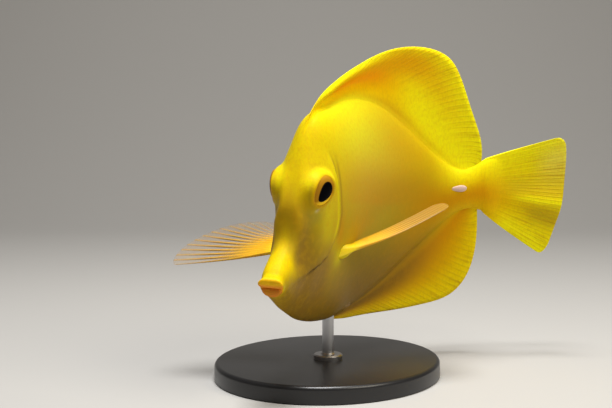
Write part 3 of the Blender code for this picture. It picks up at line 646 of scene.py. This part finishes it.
def build_skin(material):
    """Skin as one ring loft from the slit of the mouth to the tail's edge. A ring runs from the anal fin's
    edge up the left flank to the dorsal fin's edge, and down the right side again."""
    # Rings along t: wider apart on the snout and the tail base, and two close together where the fins end
    t = np.concatenate([
        np.linspace(0, 0.18, 36)[:-1], np.linspace(0.18, 0.36, 62)[:-1],
        np.linspace(0.36, DORSAL_TO, 206), [DORSAL_TO + 0.0008],
        np.linspace(DORSAL_TO + 0.008, 1, 10),
    ])
    half, y, z = body_side(t[:, None], FLANK[None, :])
    narrow = neck(t)[:, None]
    middle = (z[:, :1] + z[:, -1:]) / 2
    side = half * narrow, y, middle + (z - middle) * narrow
    half, y, z, *on_head = shape_head(*side)
    foot, top = ([field[:, edge] for field in side] for edge in (0, -1))
    anal = fin_rows(t, foot, ANAL_ROWS, ANAL_FROM, ANAL_TO, ANAL_EDGE, ANAL_RAYS, ANAL_SWEEP,
                    no_lean)
    dorsal = fin_rows(t, top, DORSAL_ROWS, DORSAL_FROM, DORSAL_TO, DORSAL_EDGE, DORSAL_RAYS, DORSAL_SWEEP,
                      dorsal_lean)
    flank = [half, y, z] + [np.zeros_like(y)] * 4
    body = [np.concatenate([a[:, ::-1], f, d], 1) for a, f, d in zip(anal, flank, dorsal)]

    angles = np.linspace(math.pi, 0, 13)[:-1]
    lips = [gathered(field) for field in lip_columns(angles)]
    lips += [np.zeros_like(lips[0])] * 4
    tail = [gathered(field) for field in tail_rows(half[-1:], side[1][-1:], side[2][-1:])]

    whole = [np.concatenate(fields, 0) for fields in zip(lips, body, tail)]
    half, y, z, lean, phase, reach, mask = whole
    straight = np.concatenate([np.stack([lean + half, y, z], -1),
                               np.stack([lean - half, y, z], -1)[:, ::-1]], 1)
    body_from, body_to = len(angles), len(angles) + len(t)
    parts = slice(0, body_from), slice(body_from, body_to), slice(body_to, None)
    sine = gathered(FLANK[None, :]) + np.zeros_like(y)
    paint = paint_skin_and_light(whole, sine, parts, [gathered(field) for field in on_head])
    return grid_piece(
        "fish_skin", posed(bent(straight)), material, paint=both_sides(paint),
        fin=both_sides(np.stack([phase, reach, mask], -1)), lie=straight * STANDARD_LENGTH)


def paint_skin_and_light(whole, sine, parts, on_head):
    """The skin's colour: layers laid over yellow, each a colour and its share by smooth ramps."""
    # Most layers are painted shade and painted highlights, laid where light and shade fall on the fish
    half, y, z, _, phase, reach, mask = whole
    on_lips, on_body, on_tail = (np.zeros_like(y) for _ in parts)
    for share, rows in zip((on_lips, on_body, on_tail), parts):
        share[rows] = 1
    fin = np.clip(mask * 6, 0, 1) * on_body
    flesh = on_body - fin
    upper, lower = ramp(sine, 0, 0.02), ramp(-sine, 0, 0.02)
    ridge = ramp(sine, 0.55, 0.92)
    behind = ramp(y, 0.26, 0.33)
    r, up, gill, fade = (np.full(y.shape, empty) for empty in (FAR, 0.0, FAR, 0.0))
    for field, given in zip((r, up, gill, fade), on_head):
        field[parts[1]] = given
    dorsal, anal = fin * upper, fin * lower
    place = phase / TAIL_RAYS
    level = (1 - sine) / 2
    layers = (
        # Flank, cheek and snout: painted shade, olive and brown, below the lit back and in the hollows
        (OLIVE, 0.80 * flesh * behind * fall(z, 0.03, 0.24) * fall(y, 0.72, 0.96)),
        (OLIVE, 0.95 * flesh * (1 - behind) * (1 - ridge) * fall(z, 0.06, 0.20) * ramp(y, 0.07, 0.12)
         * (1 - 0.6 * ramp(y, 0.17, 0.25))),
        (OLIVE, 0.7 * flesh * ramp(half, 0.004, 0.020) * ramp(y, 0.068, 0.102) * fall(y, 0.14, 0.20)
         * fall(z, 0.09, 0.14)),
        (BROWN, 0.80 * flesh * ramp(y, 0.075, 0.122) * fall(y, 0.14, 0.19) * ramp(z, -0.02, 0.02)
         * fall(z, 0.13, 0.17) * (1 - 0.6 * ridge)),
        (SHADE_AND_GRAIN, 0.85 * flesh * ramp(sine, 0.30, 0.8) * hump(z + 0.6 * half, 0.158, 0.056) * (1 - behind)),
        # Throat and belly: painted shade, brown, underneath where little light falls
        (BROWN, 0.88 * flesh * fall(z, -0.040, 0.030) * ramp(y, 0.0, 0.040) * fall(y, 0.22, 0.34)),
        (BROWN, 0.90 * flesh * fall(z, -0.20, 0.03) * ramp(y, 0.03, 0.12)),
        (BROWN, 0.55 * flesh * (1 - ridge) * ramp(-z, -0.12, 0.0) * ramp(y, 0.08, 0.14)
         * fall(y, 0.24, 0.30)),
        # Tail base: painted shade, orange, low on its side, and a painted highlight along its top
        (ORANGE, 0.95 * flesh * ramp(y, 0.60, 0.86) * hump(level, 0.60, 0.32)),
        (BRIGHT, flesh * ramp(y, 0.78, 0.92) * hump(level, 0.0, 0.30)),
        # Back and dorsal fin: painted highlights where light falls, painted shade in the fold and creases
        (BRIGHT, dorsal * ramp(y, 0.66, 0.80)),
        (HOLLOW_SHADE, 0.9 * dorsal * hump(reach, 0.46, 0.26) * ramp(y, 0.36, 0.46) * fall(y, 0.60, 0.76)),
        (ORANGE, 0.6 * dorsal * hump(reach, 0.66, 0.18) * hump(y, 0.72, 0.10)),
        (ORANGE, 0.6 * hump(mask, 0.06, 0.07) * upper * on_body * ramp(y, 0.3, 0.4) * fall(y, 0.66, 0.80)),
        (BRIGHT, flesh * hump(y, 0.47, 0.19) * ramp(sine, 0.2, 0.7)),
        (DEEP, 0.6 * flesh * hump(y, 0.72, 0.13) * hump(sine, 0.70, 0.3)),
        (BRIGHT, dorsal * ramp(reach, 0.72, 0.95) * ramp(y, 0.30, 0.38) * fall(y, 0.62, 0.74)),
        (ORANGE, 0.8 * dorsal * hump(reach, 0.76, 0.22) * hump(y, 0.76, 0.13)),
        # Anal fin: painted shade, orange to brown near the belly, and a painted highlight on its margin
        (DEEP, 0.5 * anal * fall(reach, 0.8, 1.0)),
        (ORANGE, anal * fall(reach, 0.15, 0.85)),
        (BROWN, 0.90 * anal * fall(reach, 0.15, 0.65) * fall(y, 0.72, 0.92)),
        (DARK, 0.40 * anal * fall(reach, 0.25, 0.75) * hump(y, 0.64, 0.22)),
        (AMBER_HIGHLIGHT, 0.8 * anal * ramp(reach, 0.55, 0.90) * ramp(y, 0.60, 0.74)),
        # Tail fin: painted shade at root and middle, painted highlights on the lobes and fold, a pale
        # streak
        (ORANGE, 0.95 * on_tail * fall(reach, 0.0, 0.5) * hump(place, 0.60, 0.30)),
        (OLIVE, 0.75 * on_tail * ramp(reach, 0.1, 0.5) * hump(place, 0.48, 0.14)),
        (OLIVE, 0.75 * on_tail * ramp(reach, 0.45, 0.75) * hump(place, 0.74, 0.09)),
        (BRIGHT, on_tail * (hump(place, 0.0, 0.36) + ramp(reach, 0.1, 0.4) * hump(place, 1.0, 0.18))),
        (BRIGHT, 0.8 * on_tail * ramp(reach, 0.3, 0.6) * hump(place, 0.61, 0.035)),
        (PALE, 0.20 * on_tail * ramp(reach, 0.55, 0.90) * hump(place, 0.24, 0.16)),
        # Lips, painted shadow in their slit, painted shade by the pale-rimmed nostril, and the eye's rim
        (LIP, on_lips * (0.35 + 0.65 * ramp(-z, -0.002, 0.010))),
        (DARK, 0.25 * on_lips * ramp(-z, 0.016, 0.022)),
        (GREEN_SHADE, 0.55 * flesh * hump(y, 0.185, 0.030) * hump(z, 0.125, 0.022) * (1 - ridge)),
        (PALE, 0.8 * flesh * (1 - ridge) * round_hump(y, z, NOSTRILS[0][:2], 0.0050)),
        (ORANGE, 0.75 * hump(r, 0.95, 0.12)),
        # Painted highlight along the top of the eye's rim
        (BRIGHT, 0.5 * hump(r, 1.30, 0.20) * ramp(up, 0.1, 0.8)),
        # Gill cover, the skin behind it, and the eye's edge: painted highlights, shade and sheen
        # Painted highlight on the cheek before the gill cover
        (BRIGHT, 0.35 * flesh * hump(y, 0.235, 0.03) * ramp(z, 0.02, 0.07) * fall(z, 0.13, 0.18)),
        # Painted highlight on the pectoral fin's knob, and painted shade above it
        (BRIGHT, 0.7 * flesh * hump(y, 0.320, 0.020) * hump(z, -0.022, 0.028)),
        (ORANGE, 0.6 * flesh * hump(y, 0.318, 0.018) * hump(z, 0.045, 0.050)),
        # Painted sheen on the middle of the flank
        (PALE, 0.12 * flesh * hump(y, 0.50, 0.20) * hump(z, 0.17, 0.15)),
        # Painted shade inside the eye's rim and round its front
        (BROWN, 0.55 * hump(r, 0.84, 0.10)),
        (BROWN, 0.35 * hump(r, 1.17, 0.06) * fall(y, 0.160, 0.185)),
        # On the gill cover's edge: a painted highlight, a pale line behind it and painted shade
        (BRIGHT, 0.75 * hump(gill, 0.009, 0.007) * fade * ramp(z, 0.03, 0.07)),
        (BRIGHT, 0.4 * hump(gill, -0.013, 0.005) * fade * ramp(z, 0.02, 0.06)),
        (BROWN, 0.55 * hump(gill, -0.022, 0.006) * fade * ramp(z, 0.02, 0.06)),
        (BROWN, 0.8 * hump(gill, -0.004, 0.006) * fade * ramp(z, 0.02, 0.06)),
        # Painted shadow in the gill slit
        (DARK, hump(gill, -0.002, 0.0060) * ramp(y, 0.142, 0.162) * fall(y, 0.235, 0.262)),
    )
    colour = np.broadcast_to(np.array(YELLOW), y.shape + (3,))
    for tone, share in layers:
        colour = colour + (np.array(tone) - colour) * np.clip(share, 0, 1)[..., None]
    # The body painted darker than the fins, so that the fins seem lit through
    return colour * (1 - FLESH_DARKER_FOR_FIN_GLOW * flesh * fall(y, 0.80, 1.0))[..., None]


# Eyes: the pupil's half length and half width in shares of the eye's, and how much it widens
# along its lean
PUPIL_LONG, PUPIL_WIDE, PUPIL_TAPER = 0.70, 0.60, 0.20


def eye_material():
    """A black pupil like a leaning drop, a narrow brown iris with gold below, all wet."""
    material, tree, shader = new_material("eyes", 0.16, IOR=1.06)
    lean, wide, _ = read_parts(tree, "gaze")
    low = calc(tree, "MULTIPLY_ADD", wide, -0.9, times(tree, lean, 0.55))
    # Gold below and brown above; the brown is partly painted shade from the brow
    iris = blend(tree, smooth_range(tree, low, -0.3, -0.7), IRIS, IRIS_GOLD)
    taper = calc(tree, "MULTIPLY_ADD", lean, PUPIL_TAPER, PUPIL_WIDE)
    squares = []
    for way, reach in ((lean, PUPIL_LONG), (wide, taper)):
        share = calc(tree, "ABSOLUTE", calc(tree, "DIVIDE", way, reach))
        squares.append(calc(tree, "POWER", share, 2.0))
    pupil = smooth_range(tree, calc(tree, "ADD", *squares), 1.08, 0.92)
    tree.links.new(blend(tree, pupil, iris, PUPIL), shader.inputs["Base Color"])
    return material


def ball(rings, sides):
    """A ball of half width 1 on three ways: along its axis the cosine of an angle from its pole, and across
    it the angle's sine times the cosine and the sine of a turn."""
    angle = np.linspace(0, math.pi, rings)[:, None]
    turn = np.linspace(0, 2 * math.pi, sides + 1)[None, :-1]
    return np.cos(angle) * np.ones_like(turn), np.sin(angle) * np.cos(turn), np.sin(angle) * np.sin(turn)


def make_eye(name, side, material):
    """A flattened ball, longer along its lean than across it."""
    out, lean, wide = (part[..., None] for part in ball(49, 96))
    spot = EYE + EYE_RADIUS * (EYE_OVAL * lean * EYE_LONG + wide * EYE_SHORT) + EYE_DEPTH * out * EYE_OUT
    gaze = np.concatenate([lean, wide, out], -1)
    made = grid_piece(name, posed(bent(spot * (side, 1, 1))), material, gaze=gaze)
    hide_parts(name)


# Paired fins: the corners of their far end, and where the knob at the root rises and falls off
TIP_CORNER, TIP_CORNER_WIDE = 0.08, 0.40
KNOB_RISE, KNOB_FALL = 0.08, (0.06, 0.20)


class Blade(NamedTuple):
    """A paired fin's shape: the way of its first ray and the way that the others fan out to, how many there
    are, the lengths of the first and the last, the angle between them and their root's width, how far they
    arch out of their plane in lengths of the first, the power by which the lengths change from one to the
    next, and the half thickness of the knob at the root, in metres."""

    along: tuple
    spread: tuple
    rays: int
    first: float
    last: float
    fan: float
    root_wide: float
    arch: float
    power: float
    knob: float


def fin_material(name, clear, every):
    """Golden rays, one for so many of the raised ones, and a membrane between them that thins towards the
    edge and is clear by a share."""
    material, tree, shader = new_material(
        name, 0.42, Subsurface_Weight=0.25, Subsurface_Radius=(0.002, 0.001, 0.0003))
    phase, reach, place = read_parts(tree, "fin")
    ray = calc(tree, "COSINE", times(tree, phase, 2 * math.pi / every))
    ray = smooth_range(tree, ray, calc(tree, "MULTIPLY_ADD", reach, 0.6, -0.2), 0.95)
    gap = times(tree, calc(tree, "SUBTRACT", 1.0, ray), smooth_range(tree, reach, 0.25, 0.6))
    # Yellow at the root, painted lighter as a highlight on the knob, then orange, then golden outwards
    colour = blend(tree, smooth_range(tree, reach, 0.14, 0.30), BLADE_ROOT, BLADE_INNER)
    colour = blend(tree, smooth_range(tree, reach, 0.35, 0.80), colour, GOLDEN)
    colour = blend(tree, times(tree, gap, 0.6), colour, BROWN)
    tree.links.new(colour, shader.inputs["Base Color"])
    first_rays = smooth_range(tree, place, 0.9, 0.4, 0.25, 1.0)
    firm = times(tree, ray, first_rays, smooth_range(tree, reach, 0.7, 1.0, 1.0, 0.4))
    start = calc(tree, "MULTIPLY_ADD", place, -0.35, 0.38)
    outer = smooth_range(tree, reach, start, calc(tree, "ADD", start, 0.38))
    thin = times(tree, outer, calc(tree, "SUBTRACT", 1.0, firm), clear)
    tree.links.new(calc(tree, "SUBTRACT", 1.0, thin), shader.inputs["Alpha"])
    bump(tree, shader, ray, 0.3 * MM, 0.6)
    return material


def fan_fin(name, root, blade, material):
    """A paired fin, rooted where the fish isn't bent: rays fan from a short root in the plane of its two
    ways and arch out of that plane by a sine. The sheet thins from root to edge."""
    size = STANDARD_LENGTH
    place = np.linspace(0, 1, blade.rays * 8 + 1)[:, None]
    v = np.concatenate([np.linspace(0, 1, 36), [BLADE_CLOSED]])[None, :]
    along, spread = (Vector(way).normalized() for way in (blade.along, blade.spread))
    spread = (spread - along * spread.dot(along)).normalized()
    along, spread, normal = np.array(along), np.array(spread), np.array(along.cross(spread))
    length = blade.first + (blade.last - blade.first) * place**blade.power
    length = length * size * (1 - TIP_CORNER * (1 - round_ends(place, TIP_CORNER_WIDE)))
    turn = blade.fan * place * ramp(v, 0, 0.3)
    u = (length * v * np.cos(turn))[..., None]
    w = (blade.root_wide * size * place + length * v * np.sin(turn))[..., None]
    out = (blade.arch * blade.first * size * np.sin(math.pi * v) * (1 - 0.5 * place))[..., None]
    middle = np.array(root) * size + u * along + w * spread + out * normal
    sheet = EDGE_HALF + (ROOT_HALF - EDGE_HALF) * (1 - np.clip(v, 0, 1)) ** THINNING
    dome = np.sqrt(1 - (1 - np.clip(v / KNOB_RISE, 0, 1)) ** 2) * fall(v, *KNOB_FALL)
    sheet = sheet + blade.knob * dome * np.sqrt(np.clip(1 - (2 * place - 1) ** 2, 0, 1))
    half = (sheet + RAY_RISE * ray_wave(place, blade.rays, v, 0.05, 0.25)) * (v <= 1)
    thick = half[..., None] * normal
    faces = np.concatenate([middle + thick, (middle - thick)[::-1]], 0)
    fin = np.stack(np.broadcast_arrays(place * blade.rays, v, place), -1)
    fin = np.concatenate([fin, fin[::-1]], 0)
    made = grid_piece(name, posed(faces), material, (True, False), fin=fin)
    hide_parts(name)


def side_x(y, z):
    """Half width of the body nearest to a place on its side."""
    t = np.linspace(0.0, 1.0, 401)[:, None]
    sine = np.linspace(-0.98, 0.98, 141)[None, :]
    half, at_y, at_z = body_side(t, sine)
    return half.ravel()[np.argmin((at_y - y) ** 2 + (at_z - z) ** 2)]


# Pectoral fins: their root on the flank and how far it is sunk in, their blades, how clear the membranes
# are, and how many raised rays make one drawn line
PECTORAL_ROOT, PECTORAL_SUNK = (0.325, -0.020), 0.012
PECTORAL_BLADES = {
    "pectoral_fin_left": Blade(
        along=(0.680, 0.660, 0.300), spread=(-0.438, 0.863, -0.165), rays=PECTORAL_RAYS, first=0.356,
        last=0.388, fan=math.radians(14), root_wide=0.046, arch=-0.035, power=1.0, knob=1.9 * MM),
    "pectoral_fin_right": Blade(
        along=(-0.925, -0.319, -0.208), spread=(-0.450, 0.860, 0.200), rays=PECTORAL_RAYS, first=0.382,
        last=0.12, fan=math.radians(56), root_wide=0.046, arch=0.02, power=1.6, knob=1.9 * MM),
}
PECTORAL_CLEAR = {"pectoral_fin_left": 0.30, "pectoral_fin_right": 0.90}
RAYS_TO_A_LINE = {"pectoral_fin_left": 3, "pectoral_fin_right": 1}

# Pelvic fins: the left one's root, and how clear their membranes are
PELVIC_ROOT, PELVIC_CLEAR = (0.014, 0.330, -0.208), 0.2


def make_paired_fins():
    """The pectoral fins, rooted a little inside the flank, and the pelvic fins under the belly."""
    for name, blade in PECTORAL_BLADES.items():
        side = 1 if name.endswith("left") else -1
        y, z = PECTORAL_ROOT
        root = (side * (side_x(y, z) - PECTORAL_SUNK), y - PECTORAL_SUNK, z)
        material = fin_material(name, PECTORAL_CLEAR[name], RAYS_TO_A_LINE[name])
        fan_fin(name, root, blade, material)
    material = fin_material("pelvic fins", PELVIC_CLEAR, 1)
    for name, side in (("pelvic_fin_left", 1), ("pelvic_fin_right", -1)):
        blade = Blade(
            along=(side * 0.06, 0.96, -0.22), spread=(side * 0.35, 0.2, 1), rays=PELVIC_RAYS, first=0.175,
            last=0.12, fan=math.radians(13), root_wide=0.012, arch=0.0, power=1.25, knob=0.2 * MM)
        fan_fin(name, np.multiply(PELVIC_ROOT, (side, 1, 1)), blade, material)


# Tail spines: the places of heel and tip, their level, and the blade's height and thickness
SPINE_FROM, SPINE_TO, SPINE_LEVEL = 0.945, 0.892, 0.058
SPINE_HEIGHT, SPINE_THICK = 0.020, 0.009


def make_spines():
    """White blades: along an axis from heel to tip, a round section whose height falls to a point."""
    material = new_material("white spine", 0.4, WHITE_SPINE)[0]
    t = np.interp((SPINE_FROM + SPINE_TO) / 2, STATIONS[:, 0], np.linspace(0, 1, LAST + 1))
    out = body_side(np.array([[t]]), np.zeros((1, 1)))[0].item()
    lengthwise, flat, upright = (part[..., None] for part in ball(25, 32))
    taper = 1 + 0.35 * lengthwise
    for name, side in (("tail_spine_left", 1), ("tail_spine_right", -1)):
        heel, tip = (bent(np.array((side * out, place, SPINE_LEVEL))) for place in (SPINE_FROM, SPINE_TO))
        axis = (tip - heel) / np.linalg.norm(tip - heel)
        across = np.cross(axis, (0, 0, 1)) * -side * SPINE_THICK * STANDARD_LENGTH / 2
        over = np.array((0, 0, 1)) * SPINE_HEIGHT * STANDARD_LENGTH / 2
        spot = (heel + tip) / 2 - lengthwise * (tip - heel) / 2
        spot = spot + taper * (flat * across + upright * over)
        made = grid_piece(name, posed(spot), material)
        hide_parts(name)


# Stand: its small edges, and how far the rod goes into the fish and the base
UNDER_EDGE, FOOT_FILLET, FOOT_EDGE = 0.3 * MM, 0.5 * MM, 0.4 * MM
ROD_IN_BELLY, ROD_IN_BASE = 3 * MM, 0.1 * MM


def lathe(name, profile, wide, long, material, sides):
    """A profile of (share of the radius, height) turned round the rod's axis, oval where wide and long
    differ."""
    turn = np.linspace(0, 2 * math.pi, sides + 1)[None, :-1]
    r, z = (part[:, None] for part in np.array(profile).T)
    points = np.stack(np.broadcast_arrays(r * wide * np.cos(turn), r * long * np.sin(turn), z), -1)
    made = grid_piece(name, points, material)
    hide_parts(name)
    made.data.set_sharp_from_angle(angle=math.radians(35))


def make_stand():
    """An oval base with a rounded upper edge, and a rod with a foot whose corners are cut."""
    edge = BASE_EDGE / (BASE_WIDTH / 2)
    profile = [(0.0, BASE_THICK), (0.5, BASE_THICK)]
    for a in np.linspace(0, math.pi / 2, 9):
        profile.append((1 - edge + edge * math.sin(a), BASE_THICK - BASE_EDGE + BASE_EDGE * math.cos(a)))
    profile += [(1.0, UNDER_EDGE), (1 - edge * 0.25, 0.0), (0.0, 0.0)]
    black = new_material("stand base", 0.32, STAND_BLACK)[0]
    lathe("stand_base", profile, BASE_WIDTH / 2, BASE_LENGTH / 2, black, 160)
    foot = BASE_THICK + ROD_FOOT_THICK
    top = BASE_THICK + BELLY_HEIGHT + ROD_IN_BELLY
    profile = [
        (0.0, top), (ROD_RADIUS, top), (ROD_RADIUS, foot + FOOT_FILLET), (ROD_RADIUS + FOOT_FILLET, foot),
        (ROD_FOOT_RADIUS - FOOT_EDGE, foot), (ROD_FOOT_RADIUS, foot - FOOT_EDGE),
        (ROD_FOOT_RADIUS, BASE_THICK - ROD_IN_BASE), (0.0, BASE_THICK - ROD_IN_BASE),
    ]
    steel = new_material("stand rod", 0.36, STAND_STEEL, Metallic=1.0)[0]
    lathe("stand_rod", profile, 1, 1, steel, 64)


# Floor, light and camera

# The camera: its angles round the fish and above the level, the point in the fish that it turns round, its
# distance from it and its aim's offset, the picture's width and the focal length in pixels, and the
# sensor's width in millimetres
CAMERA_AROUND, CAMERA_ABOVE = math.radians(27.5), math.radians(5)
CAMERA_PIVOT = (0, 0.4, 0.03)
CAMERA_AWAY, CAMERA_RIGHT, CAMERA_UP = 392.4 * MM, 7.95 * MM, -7.1 * MM
PICTURE_WIDE, FOCAL_PIXELS, SENSOR = 612, 1168, 36

# The floor in metres: from its near end to the foot of the curve, the curve's radius, the wall above it and
# half its width
FLOOR_NEAR, FLOOR_BEND, FLOOR_CURVE = -1.2, 0.45, 0.35
WALL_FROM, WALL_TOP, FLOOR_SIDE = 0.5, 1.6, 1.6

# Lights: place, aim, width, power and colour
LIGHTS = {
    "key": ((0.04, -0.08, 0.64), (0, 0, 0.07), 0.26, 5.75, (1, 1, 1)),
    "side": ((0.42, -0.05, 0.42), (0.02, 0.03, 0.08), 0.30, 1.6, (1.0, 0.93, 0.8)),
}
SKY_COLOUR, SKY_STRENGTH = (1.0, 0.86, 0.72, 1), 0.11


def make_stage():
    """The floor as one sheet: level under the fish, a quarter circle up behind it, and a wall."""
    turn = np.linspace(0, math.pi / 2, 16)[1:]
    run = np.concatenate([np.linspace(FLOOR_NEAR, FLOOR_BEND, 12), FLOOR_BEND + FLOOR_CURVE * np.sin(turn),
                          np.full(4, FLOOR_BEND + FLOOR_CURVE)])
    rise = np.concatenate([np.zeros(12), FLOOR_CURVE - FLOOR_CURVE * np.cos(turn),
                           np.linspace(WALL_FROM, WALL_TOP, 4)])
    wide = np.linspace(-FLOOR_SIDE, FLOOR_SIDE, 9)[:, None]
    cosine, sine = math.cos(CAMERA_AROUND), math.sin(CAMERA_AROUND)
    points = np.stack(np.broadcast_arrays(wide * cosine - run * sine, wide * sine + run * cosine, rise), -1)
    material = new_material("floor", 0.7, FLOOR_GREY)[0]
    place_object("floor", grid_mesh("floor", points, material, (False, False)))


def make_lights():
    """Two round soft lights aimed at the fish, and a weak warm light from all round."""
    for name, (at, target, wide, power, colour) in LIGHTS.items():
        light = bpy.data.lights.new(name, "AREA")
        light.shape = "DISK"
        light.size = wide
        light.energy = power
        light.color = colour
        lamp = place_object(name, light)
        lamp.location = at
        lamp.rotation_euler = (Vector(target) - Vector(at)).to_track_quat("-Z", "Y").to_euler()
    world = bpy.data.worlds.new("studio")
    world.use_nodes = True
    sky = world.node_tree.nodes["Background"]
    sky.inputs["Color"].default_value = SKY_COLOUR
    sky.inputs["Strength"].default_value = SKY_STRENGTH
    bpy.context.scene.world = world
    bpy.context.scene.view_settings.view_transform = "Standard"


def make_camera():
    """It stands at its two angles and its distance from a point in the fish, and aims a little off it."""
    az, el = CAMERA_AROUND, CAMERA_ABOVE
    right = Vector((math.cos(az), math.sin(az), 0))
    away = Vector((-math.sin(az) * math.cos(el), math.cos(az) * math.cos(el), -math.sin(el)))
    up = right.cross(away)
    pivot = POSE @ Vector([STANDARD_LENGTH * share for share in CAMERA_PIVOT])
    camera = bpy.data.cameras.new("camera")
    camera.sensor_width = SENSOR
    camera.lens = FOCAL_PIXELS * SENSOR / PICTURE_WIDE
    camera.clip_start = 0.01
    made = place_object("camera", camera)
    place = Matrix((right, up, -away)).transposed().to_4x4()
    place.translation = pivot - CAMERA_AWAY * away - CAMERA_RIGHT * right - CAMERA_UP * up
    made.matrix_world = place
    bpy.context.scene.camera = made


skin = build_skin(skin_material())
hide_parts("head", "trunk", "tail_base", "lip_upper", "lip_lower",
            "dorsal_fin", "anal_fin", "tail_fin")
wet = eye_material()
make_eye("eye_left", 1, wet)
make_eye("eye_right", -1, wet)
make_paired_fins()
make_spines()
make_stand()
make_stage()
make_lights()
make_camera()
